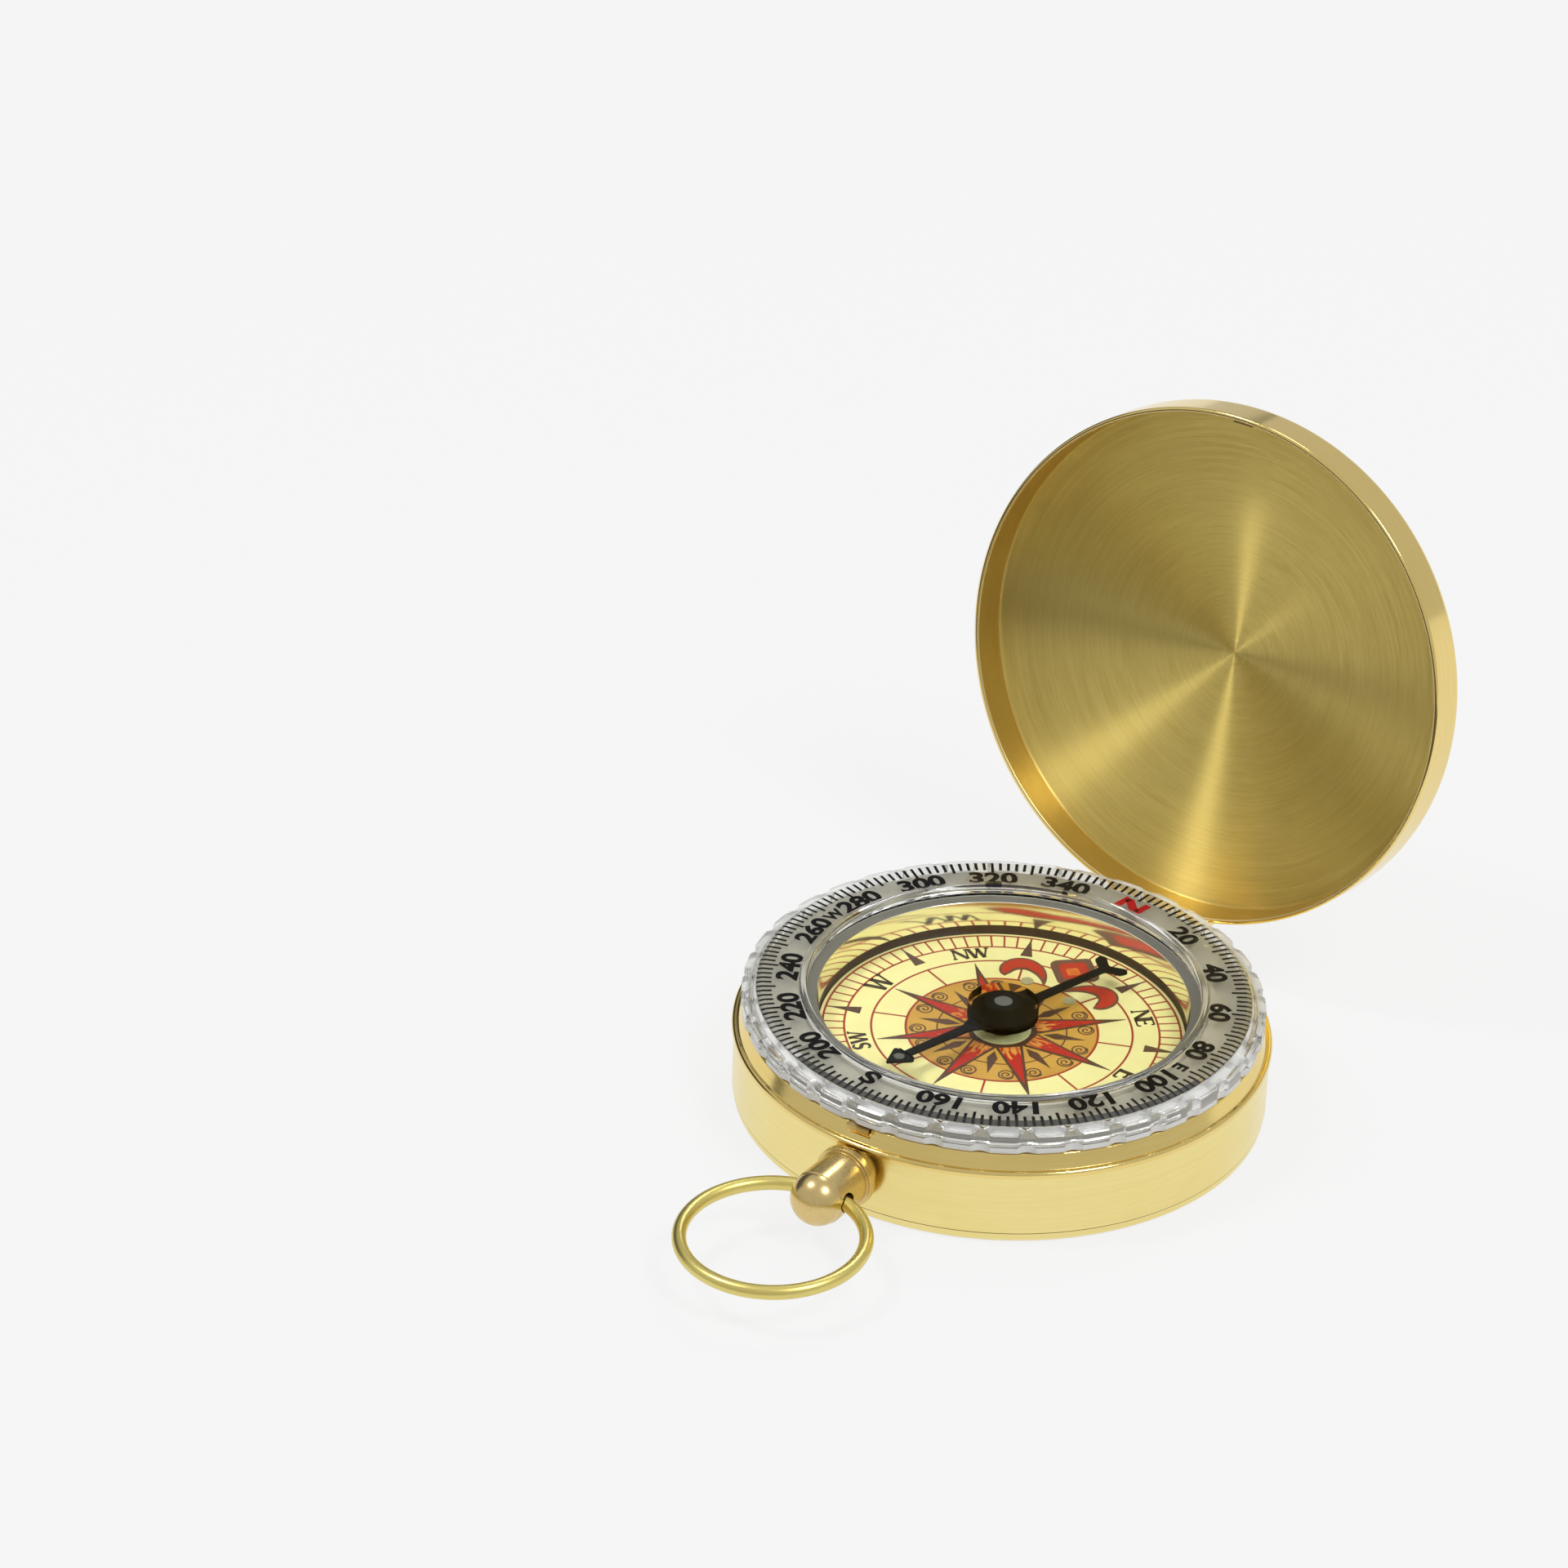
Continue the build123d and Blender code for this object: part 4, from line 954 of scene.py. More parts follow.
# %% Rings, ticks and lines of the dial
QUARTERS = np.arange(0, 360, 45)
BETWEEN = QUARTERS + 22.5
ROSE_R, INNER_CIRCLE, TICK_IN, TICK_OUT = 8.9, 12.1, 14.6, 16.6
ROSE_LINE_W, LINE_W, TICK_W = 0.22, 0.2, 0.18
TICK_STEP = 4.5
COLLAR_R, COLLAR_W = 3.02, 0.66   # brown ring round the pale disc
print_dial("rose_disc", [ring((ROSE_R + LUME_R) / 2, ROSE_R - LUME_R, *layer(1))], OCHRE_INK)
circles = [ring(radius, LINE_W, *layer(1)) for radius in (INNER_CIRCLE, TICK_IN, TICK_OUT)]
print_dial("dial_lines", [
    ring(ROSE_R, ROSE_LINE_W, *layer(2)), *circles,
    spokes(BETWEEN, ROSE_R, INNER_CIRCLE, LINE_W, *layer(1)),
    spokes(np.arange(0, 360, TICK_STEP), TICK_IN, TICK_OUT, TICK_W, *layer(1))], LINE_INK)
print_dial("dial_band", [ring(COLLAR_R, COLLAR_W, *layer(3))], BROWN_INK)

# %% Points and spirals of the rose
STAR_BASE, STAR_TIP = 3.2, 11.8
STAR_HALF = 1.25      # half width of a long point at its base
STAR_EDGE = 0.27      # brown edge of a long point
FLAME_TIP = STAR_TIP - 2.2
NORTH_TIP, NORTH_FLAME_TIP = 8.6, 8.0   # the point below the lily is shorter
SMALL_BASE, SMALL_BELLY, SMALL_TIP, SMALL_HALF = 3.9, 5.1, 7.8, 0.50
SMALL_RING_R, SMALL_RING_W = 6.0, 0.14
SPIRAL_AT, SPIRAL_OFF_DEG, SPIRAL_R, SPIRAL_W = 7.8, 9.5, 0.72, 0.15
SPIRAL_START, SPIRAL_TURNS, SPIRAL_CLOSING = 0.6, 2.4, 0.7


def star_point(tip, half, hollow, low, high, count=14):
    """Long point: its half width falls from the base to the tip as (1 - s) to the power hollow."""
    s = np.linspace(0, 1, count)
    wide = half * (1 - s) ** hollow
    y = STAR_BASE + (tip - STAR_BASE) * s
    outline = np.concatenate([np.stack([wide, y], 1), np.stack([-wide[:-1], y[:-1]], 1)[::-1]])
    return slab(outline[::-1], low, high)


def spiral(low, high, count=60):
    """Even spiral: the radius grows in step with the angle, and stays the same over the last part."""
    angle = np.linspace(SPIRAL_START, 2 * np.pi * SPIRAL_TURNS, count)
    radius = SPIRAL_R * np.minimum(angle / (2 * np.pi * (SPIRAL_TURNS - SPIRAL_CLOSING)), 1.0)
    line = np.stack([radius * np.cos(angle), radius * np.sin(angle)], axis=1)
    return ribbon(line, SPIRAL_W, low, high)


long_points = QUARTERS[1:]
kite = [(0, SMALL_BASE), (-SMALL_HALF, SMALL_BELLY), (0, SMALL_TIP), (SMALL_HALF, SMALL_BELLY)]
print_dial("rose_small_points", [turned_flat(slab(kite, *layer(3)), a) for a in BETWEEN] + [
    ring(SMALL_RING_R, SMALL_RING_W, *layer(2))], BROWN_INK)
print_dial("rose_spirals", [
    turned_flat(spiral(*layer(2)), a + side * SPIRAL_OFF_DEG, SPIRAL_AT)
    for a in long_points for side in (-1, 1)], BROWN_INK)
dark_point = star_point(STAR_TIP, STAR_HALF, 1.05, *layer(4))
red_point = star_point(FLAME_TIP, STAR_HALF - STAR_EDGE, 0.95, *layer(5))
print_dial("rose_point_edges", [turned_flat(dark_point, a) for a in long_points] + [
    star_point(NORTH_TIP, STAR_HALF, 1.0, *layer(4))], BROWN_INK)
print_dial("rose_points", [turned_flat(red_point, a) for a in long_points] + [
    star_point(NORTH_FLAME_TIP, STAR_HALF - STAR_EDGE, 1.0, *layer(5))], FLAME_INK)

# %% Lily at north
PETAL_LINE = [        # radius, azimuth and width along a side petal, from its root to its tip
    (8.9, -6.4, 0.12), (10.0, -9.3, 0.7), (11.1, -14.0, 1.35), (11.85, -19.5, 1.85), (11.9, -24.5, 2.05),
    (11.2, -29.0, 1.75), (10.1, -31.0, 1.15), (9.5, -30.8, 0.05)]
PETAL_EDGE = 0.25     # brown border of a side petal
PETAL_THIN = 2.2      # a petal ends where it is thinner than this many borders
LILY_HALF, LILY_LOW, LILY_HIGH, LILY_WIDEST = 2.95, 9.9, 15.5, 12.8
LILY_RED, LILY_GLOW, LILY_GLOW_DROP = 0.66, 0.3, 0.3   # sizes of the inner lozenges, and the last one's drop
LILY_DOTS = ((8.9, -17.0), (8.3, 17.0))
LILY_DOT_R, LILY_DOT_H = 0.62, 0.11


def softened(points, times=3):
    """Corners cut off, over and over: each step keeps the points a quarter and three quarters along."""
    for _ in range(times):
        before, after = points[:-1], points[1:]
        pairs = np.stack([0.75 * before + 0.25 * after, 0.25 * before + 0.75 * after], axis=1)
        points = np.concatenate([points[:1], pairs.reshape(-1, 3), points[-1:]])
    return points


def petal(side, edge, level):
    """Side petal: a comma of swelling width along a hooked line, mirrored for the right. edge is drawn in
    all round."""
    radius, azimuth, wide = softened(np.array(PETAL_LINE)).T
    keep = wide > PETAL_THIN * edge
    line = polar(radius[keep], azimuth[keep] * side)
    return ribbon(line, wide[keep] - 2 * edge, *layer(level))


def lozenge(share, drop, level):
    """The lily's middle: a rounded lozenge, shrunk towards its widest place and lowered by the drop."""
    whole = rounded([
        (0, LILY_LOW, 0.5), (LILY_HALF, LILY_WIDEST, 0.9),
        (0, LILY_HIGH, 0.5), (-LILY_HALF, LILY_WIDEST, 0.9)], steps=8)
    return slab((whole - (0, LILY_WIDEST)) * share + (0, LILY_WIDEST - drop), *layer(level))


print_dial("lily_borders", [petal(side, 0, 6) for side in (1, -1)], PETAL_BORDER)
print_dial("lily_side_petals", [petal(side, PETAL_EDGE, 7) for side in (1, -1)], PETAL_RED)
print_dial("lily_middle_border", [lozenge(1.0, 0.0, 6)], PETAL_BORDER)
print_dial("lily_middle_petal", [lozenge(LILY_RED, 0.0, 7)], PETAL_RED)
print_dial("lily_glow", [lozenge(LILY_GLOW, LILY_GLOW_DROP, 8)], GLOW_INK)
dot_edge = polar(LILY_DOT_R, np.linspace(0, 360, 40, endpoint=False))[::-1]
place("lily_lume_dots", joined("lily_lume_dots", [
    slab(dot_edge + polar(*at), DIAL_TOP - SUNK, DIAL_TOP + LILY_DOT_H) for at in LILY_DOTS]),
    PALE_DOT, "case", "lume_dot")

# %% Letters and markers
MARK_BASE, MARK_TIP, MARK_HALF = 13.3, 16.3, 0.58
LETTER_R, LETTER_GAP = 13.45, 0.16
MAIN_H, CORNER_H = 2.0, 1.6
THIN, THICK, SERIF = 0.115, 0.235, 0.13
STROKES = {
    # letter: (width, [(x0, y0, x1, y1, thickness)]) in units of the letter's height
    "N": (0.78, [(0, 0, 0, 1, THIN), (0.78, 0, 0.78, 1, THIN), (0, 1, 0.78, 0, THICK)]),
    "E": (0.60, [(0, 0, 0, 1, THICK), (0, 0, 0.6, 0, THIN), (0, 0.5, 0.42, 0.5, THIN), (0, 1, 0.56, 1, THIN),
                 (0.6, 0, 0.6, 0.2, THIN), (0.56, 1, 0.56, 0.82, THIN), (0.42, 0.4, 0.42, 0.6, THIN)]),
    "W": (1.1, [(0, 1, 0.3, 0, THICK), (0.3, 0, 0.55, 1, THIN), (0.55, 1, 0.82, 0, THICK),
                (0.82, 0, 1.1, 1, THIN)]),
    "S": (0.52, []),
}
FEET = {"N": [(0, 0), (0.78, 1), (0, 1)], "E": [(0, 0), (0, 1)], "W": [(0, 1), (0.55, 1), (1.1, 1)]}
S_MIDDLE = 0.26
S_BOWS = ((25, 265, 0.22, 0.23, 0.75), (95, -155, 0.25, 0.25, 0.26))   # from, to, half sizes and height


def letter_s(low, high):
    """The letter S: an upper bow turning left and a lower bow turning right, thick where they meet."""
    bows = []
    for from_deg, to_deg, wide, tall, middle in S_BOWS:
        a = np.radians(np.linspace(from_deg, to_deg, 16))
        bows.append(np.stack([S_MIDDLE + wide * np.cos(a), middle + tall * np.sin(a)], axis=1))
    path = np.concatenate(bows)
    swell = THIN + (THICK - THIN) * np.sin(np.linspace(0, np.pi, len(path)))
    return ribbon(path, swell, low, high)


def letter(name, low, high):
    """Serif letter of height 1: straight strokes as ribbons, with a short foot across each free end."""
    if name == "S":
        return [letter_s(low, high)]
    strokes = [ribbon([(a, b), (c, d)], t, low, high) for a, b, c, d, t in STROKES[name][1]]
    return strokes + [ribbon([(x - SERIF, y), (x + SERIF, y)], THIN, low, high) for x, y in FEET[name]]


def word(text, height, azimuth_deg, low, high):
    """Letters side by side, centred on the letters' radius at an azimuth, with their tops outwards."""
    widths = [STROKES[c][0] for c in text]
    total = sum(widths) + LETTER_GAP * (len(text) - 1)
    starts = np.cumsum([0] + widths[:-1]) + LETTER_GAP * np.arange(len(text)) - total / 2
    shapes = []
    for start, c in zip(starts, text):
        for points, faces in letter(c, low, high):
            flat = (points + (start, -0.5, 0)) * (height, height, 1)
            shapes.append(turned_flat((flat, faces), azimuth_deg, LETTER_R))
    return shapes


names = ["NE", "E", "SE", "S", "SW", "W", "NW"]
letters = [shape for text, azimuth in zip(names, long_points) for shape in word(
    text, MAIN_H if len(text) == 1 else CORNER_H, azimuth, *layer(2))]
print_dial("dial_letters", letters, LETTER_INK)
marker = slab([(MARK_HALF, MARK_BASE), (0, MARK_TIP), (-MARK_HALF, MARK_BASE)], *layer(2))
print_dial("dial_markers", [turned_flat(marker, a) for a in BETWEEN], BROWN_INK)

# %% [markdown]
# The bezel
#
# The bezel is a clear moulding with a rounded inner lip and 36 finger grips scooped out of its rim. The
# grips could be cut with booleans, but on a grid they are simpler: no point may lie further out than the
# circle of the scoop at its angle. Its degree scale is a printed film cemented underneath.

# %% Bezel ring
bezel_low, bezel_high = node_box("bezel_ring")
scale_low, scale_high = node_box("bezel_scale_ring")
BEZEL_R, BEZEL_FOOT = bezel_high[0], bezel_low[2]
SCALE_R, PLATE_UNDER = scale_high[0], scale_high[2]
PLATE_TOP = PLATE_UNDER + 0.5
BEZEL_BORE = SCALE_R + FIT
LIP_R, LIP_W, LIP_FLAT = CRYSTAL_R - 0.3, 0.8, 0.8   # the lip's top is flat over this share of its width
LIP_OUT, LIP_TOP, LIP_UNDER = LIP_R + LIP_W, bezel_high[2], CRYSTAL_TOP + 0.1
HIGHLIGHT_BAND_H = 0.7         # painted highlight: an opaque white band at the skirt's foot, standing in for the light its clear edge throws back
SLOPE_W, SLOPE_H = 1.8, 0.75
KNEE_IN, KNEE_DOWN = 0.7, SLOPE_H * 0.61   # where the slope steepens
GRIPS, SCOOP_R, SCOOP_DEPTH, SCOOP_FROM_DEG = 36, 1.05, 0.5, 7.5
SCOOP_COLUMNS, LAND_COLUMNS, LAND_FROM = 13, 7, 1.06
bezel_outline = rounded([
    (LIP_R, LIP_UNDER, 0.08), (LIP_R, LIP_TOP, 0.34), (LIP_R + LIP_W * LIP_FLAT, LIP_TOP, 0.3),
    (LIP_OUT, PLATE_TOP, 0.12), (BEZEL_R - SLOPE_W, PLATE_TOP, 0.25),
    (BEZEL_R - KNEE_IN, PLATE_TOP - KNEE_DOWN, 0.2), (BEZEL_R, PLATE_TOP - SLOPE_H, 0.22),
    (BEZEL_R, BEZEL_FOOT + HIGHLIGHT_BAND_H, 0), (BEZEL_R, BEZEL_FOOT, 0.32), (BEZEL_BORE, BEZEL_FOOT, 0.1),
    (BEZEL_BORE, PLATE_UNDER, 0.05), (LIP_OUT, PLATE_UNDER, 0.05), (LIP_OUT, LIP_UNDER, 0.06)])


def scooped(outline):
    """The lathe's surface with its radius held inside each scoop: at an angle d from a scoop's middle,
    the scoop's edge lies at c cos d - sqrt(r squared - (c sin d) squared), c being its centre's radius.
    Each scoop has columns of its own, with one close outside each of its edges."""
    centre = BEZEL_R + SCOOP_R - SCOOP_DEPTH
    half = np.arccos((centre ** 2 + BEZEL_R ** 2 - SCOOP_R ** 2) / (2 * centre * BEZEL_R))
    period = 2 * np.pi / GRIPS
    land = np.linspace(LAND_FROM * half, period - LAND_FROM * half, LAND_COLUMNS)
    d = np.concatenate([np.linspace(-half, half, SCOOP_COLUMNS), land])
    inside = np.maximum(SCOOP_R ** 2 - (centre * np.sin(d)) ** 2, 0)
    edge = np.where(np.abs(d) <= half, centre * np.cos(d) - np.sqrt(inside), np.inf)
    angles = (np.radians(SCOOP_FROM_DEG) + period * np.arange(GRIPS)[:, None] + d).ravel()
    radius, height = outline.T
    held = np.minimum(radius[None, :], np.tile(edge, GRIPS)[:, None])
    x, y = np.cos(angles)[:, None] * held, np.sin(angles)[:, None] * held
    return np.stack([x, y, np.broadcast_to(height, x.shape)], axis=-1)


bezel_r, bezel_z = bezel_outline.T
# The skirt's lowest band carries the painted highlight.
highlight_band = (bezel_z < BEZEL_FOOT + HIGHLIGHT_BAND_H + 0.01) & (bezel_r > BEZEL_R - 0.4)
on_plate = (np.abs(bezel_z - PLATE_TOP) < 0.03) & (bezel_r < BEZEL_R - SLOPE_W)
grid_piece("bezel_moulding", scooped(bezel_outline), [CLEAR_BEZEL, FOOT_HIGHLIGHT_PAINT, CLEAR_PLATE],
           "bezel", "clear_bezel", "bezel_ring", close_cols=True, bands=highlight_band + 2 * on_plate)

# %% Degree film, ticks and figures
CEMENT = 0.01         # the film sits this far into the plate, so no air shows between them
FILM_TOP = PLATE_UNDER + CEMENT
film_outline = washer(LIP_OUT + FIT, SCALE_R, scale_low[2], FILM_TOP, (0.02, 0.02, 0.02, 0.02))
grid_piece("degree_film", lathe(film_outline), SCALE_FILM, "bezel", "scale_print", "bezel_scale_ring",
           close_cols=True)
SCALE_TURN_DEG = 4.7  # the bezel stands turned this far from north
SCALE_LEVELS = (FILM_TOP - SUNK, FILM_TOP + INK)
SCALE_TICK_OUT, SCALE_TICK_IN, SCALE_LONG_IN, SCALE_TICK_W = 22.78, 21.45, 21.05, 0.28
FIGURE_R, FIGURE_H, FIGURE_WIDE, FIGURE_BOLD = 20.0, 2.1, 1.16, 0.042
SCALE_FIGURES = [(str(d), d, FIGURE_H, FIGURE_WIDE) for d in range(20, 360, 20) if d != 180]
SCALE_LETTERS = [("S", 180, 2.1, 1.3), ("E", 90, 1.4, 1.15), ("W", 270, 1.4, 1.0)]
NORTH_STROKES = [     # both ends and the width of each stroke of the red N
    ((-1.2, -1.03), (-1.0, 1.03), 0.74), ((1.0, -1.03), (1.2, 1.03), 0.74),
    ((-0.85, 0.8), (0.85, -0.8), 0.85)]


def figure_shape(text, height, wide):
    """Text made a mesh: flat letters from Blender's own font, thickened, scaled to a height and centred."""
    curve = bpy.data.curves.new("figure", "FONT")
    curve.body = text
    curve.offset = FIGURE_BOLD
    curve.extrude = 0.5
    curve.resolution_u = 6
    carrier = bpy.data.objects.new("figure", curve)
    scene.collection.objects.link(carrier)
    mesh = bpy.data.meshes.new_from_object(carrier.evaluated_get(bpy.context.evaluated_depsgraph_get()))
    points = np.empty(len(mesh.vertices) * 3)
    mesh.vertices.foreach_get("co", points)
    points = points.reshape(-1, 3)
    faces = [list(face.vertices) for face in mesh.polygons]
    low, high = points.min(0), points.max(0)
    points -= (low + high) / 2
    scale = height / (high[1] - low[1])
    points *= (scale * wide, scale, SCALE_LEVELS[1] - SCALE_LEVELS[0])
    points[:, 2] += sum(SCALE_LEVELS) / 2
    bpy.data.objects.remove(carrier)
    bpy.data.curves.remove(curve)
    bpy.data.meshes.remove(mesh)
    return points, faces


def print_scale(name, shapes, material):
    """One ink of the degree film, turned as the bezel stands."""
    shapes = [turned_flat(shape, SCALE_TURN_DEG) for shape in shapes]
    place(name, joined(name, shapes), material, "bezel", "scale_print")


every = np.arange(0, 360, 2)
tick_in = np.where(every % 10 == 0, SCALE_LONG_IN, SCALE_TICK_IN)
print_scale("degree_ticks", [spokes(every, tick_in, SCALE_TICK_OUT, SCALE_TICK_W, *SCALE_LEVELS)], BLACK_INK)
print_scale("degree_figures", [
    turned_flat(figure_shape(text, high, wide), d, FIGURE_R)
    for text, d, high, wide in SCALE_FIGURES + SCALE_LETTERS], BLACK_INK)
print_scale("degree_north", [
    turned_flat(ribbon(ends, wide, *SCALE_LEVELS), 0, FIGURE_R) for *ends, wide in NORTH_STROKES], RED_INK)

# %% [markdown]
# The needle
#
# The needle is punched from thin sheet and painted black: an arrowhead with rounded barbs, a slim shaft
# that widens to a round middle, and a tail with two lobes. Under a tall black cap sits a clear bearing.
# Its outline is one list of corners with fillets, mirrored, so that the punch's round corners show.

# %% Needle
blade_low, blade_high = node_box("needle_blade")
hub_low, hub_high = node_box("needle_hub")
bearing_low, bearing_high = node_box("needle_bearing")
BLADE_Z, BLADE_TOP = blade_low[2], blade_high[2]
NEEDLE_AZ = 196.0
HUB_R, HUB_TOP_R, HUB_Z, HUB_TOP = hub_high[0], 1.9, hub_low[2], hub_high[2]
HUB_LAP = 0.1         # the cap's straight foot goes this far below and above the blade's top
BLADE_BEVEL = 0.06
CRISP_DEG = 35.0      # sharper corners than this keep a hard edge
waist = HUB_R * 0.99
half_outline = np.array([
    (0.0, 14.3, 0.15), (1.45, 12.0, 0.30), (0.95, 11.75, 0.2), (0.46, 12.2, 0.3), (0.55, 4.4, 1.0),
    (1.55, 2.4, 0.6), (waist, 0.9, 0.8), (waist, -0.9, 0.8), (1.55, -2.4, 0.6), (0.55, -4.4, 1.0),
    (0.44, -12.4, 0.5), (1.75, -13.1, 0.35), (1.95, -13.9, 0.3), (1.35, -14.2, 0.35), (0.0, -13.3, 0.5)])
other_half = (half_outline * (-1, 1, 1))[-2:0:-1]
blade_outline = rounded(np.concatenate([half_outline, other_half]), steps=8)


def shrunk(outline, share):
    """Outline drawn in: a copy moved inwards along its normals."""
    along = np.roll(outline, -1, axis=0) - np.roll(outline, 1, axis=0)
    inward = np.stack([-along[:, 1], along[:, 0]], axis=1)
    inward /= np.maximum(np.linalg.norm(inward, axis=1, keepdims=True), 1e-9)
    area = np.sum(outline[:, 0] * np.roll(outline[:, 1], -1) - np.roll(outline[:, 0], -1) * outline[:, 1])
    return outline + np.sign(area) * share * inward


def bevelled_plate(outline, low, high, bevel):
    """Plate with bevelled edges: the outline drawn in at the lower face, whole at two levels, and drawn
    in again at the upper face, as the rows of a grid; flat faces close both ends."""
    inner = shrunk(outline, bevel)
    rows = [(inner, low), (outline, low + bevel), (outline, high - bevel), (inner, high)]
    points = np.stack([np.hstack([flat, np.full((len(flat), 1), z)]) for flat, z in rows])
    n = len(outline)
    quads = grid_faces(4, n, False, True)[0].tolist()
    return points.reshape(-1, 3), quads + [np.arange(n)[::-1].tolist(), (np.arange(n) + 3 * n).tolist()]


def sharp_piece(name, shape, material, body, slot, *nodes):
    """Hang a flat-sided shape on its body: welded, with only its gentle corners shaded smooth."""
    mesh = welded(joined(name, [shape]))
    mesh.set_sharp_from_angle(angle=np.radians(CRISP_DEG))
    place(name, mesh, material, body, slot, *nodes)


blade = turned_flat(bevelled_plate(blade_outline, BLADE_Z, BLADE_TOP, BLADE_BEVEL), NEEDLE_AZ)
sharp_piece("needle_punched", blade, BLACK_PAINT, "needle", "black_paint", "needle_blade")
cap_outline = rounded([
    (0, HUB_Z - HUB_LAP, 0), (HUB_R, HUB_Z - HUB_LAP, 0.05), (HUB_R, HUB_Z + HUB_LAP, 0.1),
    (HUB_TOP_R, HUB_TOP, 0.25), (0, HUB_TOP, 0)], closed=False)
grid_piece("needle_cap", lathe(cap_outline), BLACK_PAINT, "needle", "black_plastic", "needle_hub")
SLEEVE_R, SLEEVE_BORE, SLEEVE_Z = 1.15, 0.6, bearing_low[2]
FLANGE_OUT, FLANGE_Z = bearing_high[0], BLADE_Z - 0.25
RIM_TOP, RIM_IN = HUB_TOP + 0.03, 0.3
under_blade = BLADE_Z - 0.01
bearing_outline = rounded([
    (SLEEVE_BORE, SLEEVE_Z, 0.05), (SLEEVE_R, SLEEVE_Z, 0.1), (SLEEVE_R, FLANGE_Z, 0.1),
    (FLANGE_OUT, FLANGE_Z, 0.1), (FLANGE_OUT, RIM_TOP, 0.15), (HUB_TOP_R - RIM_IN, RIM_TOP, 0.05),
    (HUB_TOP_R - RIM_IN, HUB_TOP - 0.2, 0.05), (HUB_R - RIM_IN, under_blade, 0.05),
    (SLEEVE_BORE, under_blade, 0.02)])
grid_piece("needle_bearing_clear", lathe(bearing_outline), CLEAR_BEARING, "needle", "clear_plastic",
           "needle_bearing", close_cols=True)


def paint_drop(radius, low, high):
    """Drop of paint: a low dome whose height falls off with the square of the distance from its middle."""
    share = np.linspace(1, 0, 10)
    rim = np.stack([radius * share, low + (high - low) * (1 - share ** 2)], axis=1)
    outline = np.concatenate([[(0, low - 0.01), (radius, low - 0.01)], rim])
    return lathe(outline, np.linspace(0, 2 * np.pi, 48, endpoint=False))


ARROW_DOT_AT, ARROW_DOT_R, ARROW_DOT_H, CAP_DOT_R = 12.65, 0.5, 0.08, 0.85
cap_dot = paint_drop(CAP_DOT_R, HUB_TOP, node_box("needle_lume_dots")[1][2])
arrow_dot = paint_drop(ARROW_DOT_R, BLADE_TOP, BLADE_TOP + ARROW_DOT_H)
arrow_dot[..., :2] += polar(ARROW_DOT_AT, NEEDLE_AZ)
grid_piece("needle_cap_dot", cap_dot, LUME_DOT, "needle", "lume_dot", "needle_lume_dots")
grid_piece("needle_arrow_dot", arrow_dot, LUME_DOT, "needle", "lume_dot")

# %% [markdown]
# The lid
#
# The lid is a pressed cup with a domed back. Its hollow floor was brushed on a lathe, and such fine rings
# stretch each lamp's reflection into a bright fan across the middle. The shader's anisotropy does that,
# with the grain's direction taken from the UV map. The outline is drawn shut, then swung open.

# %% Lid shell
hinge = next(j for j in frame["joints"] if j["name"] == "lid_hinge")
HINGE_Y, HINGE_Z = np.array(hinge["pos_m"][1:]) / MM
OPEN_DEG = hinge["range_deg"][1]
LID_R = node_box("lid_shell")[1][0]
LID_T = 0.5
LIP_Z = BEAD_TOP + 0.15
LID_EDGE_Z = PLATE_TOP + 0.1 + LID_T
LID_UNDER = LID_EDGE_Z - LID_T
LID_CROWN = 2.6       # how far the back is domed
LID_EDGE_R = 0.8
LID_BACK_R = LID_R - 1.6   # where the rounded edge has run out into the dome
FLOOR_STEP_R, FLOOR_STEP = LID_R - 2.2, 0.03
PIP_R, PIP_RISE = 1.2, 0.05    # nub that the turning tool leaves in the middle
LID_COLUMNS = 360


def dome(radius, base_z):
    """Height of the domed back: a parabola that rises by the crown at the middle."""
    return base_z + LID_CROWN * (1 - (radius / (LID_R - LID_EDGE_R)) ** 2)


def swung_open(points):
    """Turn points drawn shut back about the hinge's axis to where the lid stands open."""
    a = -np.radians(OPEN_DEG)
    y, z = points[..., 1] - HINGE_Y, points[..., 2] - HINGE_Z
    turned_y = HINGE_Y + y * np.cos(a) - z * np.sin(a)
    turned_z = HINGE_Z + y * np.sin(a) + z * np.cos(a)
    return np.stack([points[..., 0], turned_y, turned_z], axis=-1)


def lid_outline():
    """Outline of the shut lid from the middle of its inside to the middle of its back. The nub's height
    falls in a straight line just outside its radius."""
    lid_in = LID_R - LID_T
    nub_edge = np.linspace(0.9, 1.1, 7) * PIP_R
    floor_r = np.concatenate([np.linspace(0, 0.8 * PIP_R, 4), nub_edge, np.linspace(1.5, FLOOR_STEP_R, 28)])
    pip = PIP_RISE * np.clip((1.08 * PIP_R - floor_r) / (0.16 * PIP_R), 0, 1)
    floor = np.stack([floor_r, dome(floor_r, LID_UNDER) + FLOOR_STEP - pip], axis=1)
    rim = rounded([
        (FLOOR_STEP_R, floor[-1, 1], 0), (FLOOR_STEP_R + 0.1, dome(FLOOR_STEP_R, LID_UNDER), 0.05),
        (lid_in, LID_UNDER, 0.25), (lid_in, LIP_Z, 0.2), (LID_R, LIP_Z, 0.2), (LID_R, LID_EDGE_Z, LID_EDGE_R),
        (LID_BACK_R, dome(LID_BACK_R, LID_EDGE_Z), 0)], closed=False)
    back_r = np.linspace(LID_BACK_R - 0.1, 0, 30)
    back = np.stack([back_r, dome(back_r, LID_EDGE_Z)], axis=1)
    return np.concatenate([floor, rim[1:], back])


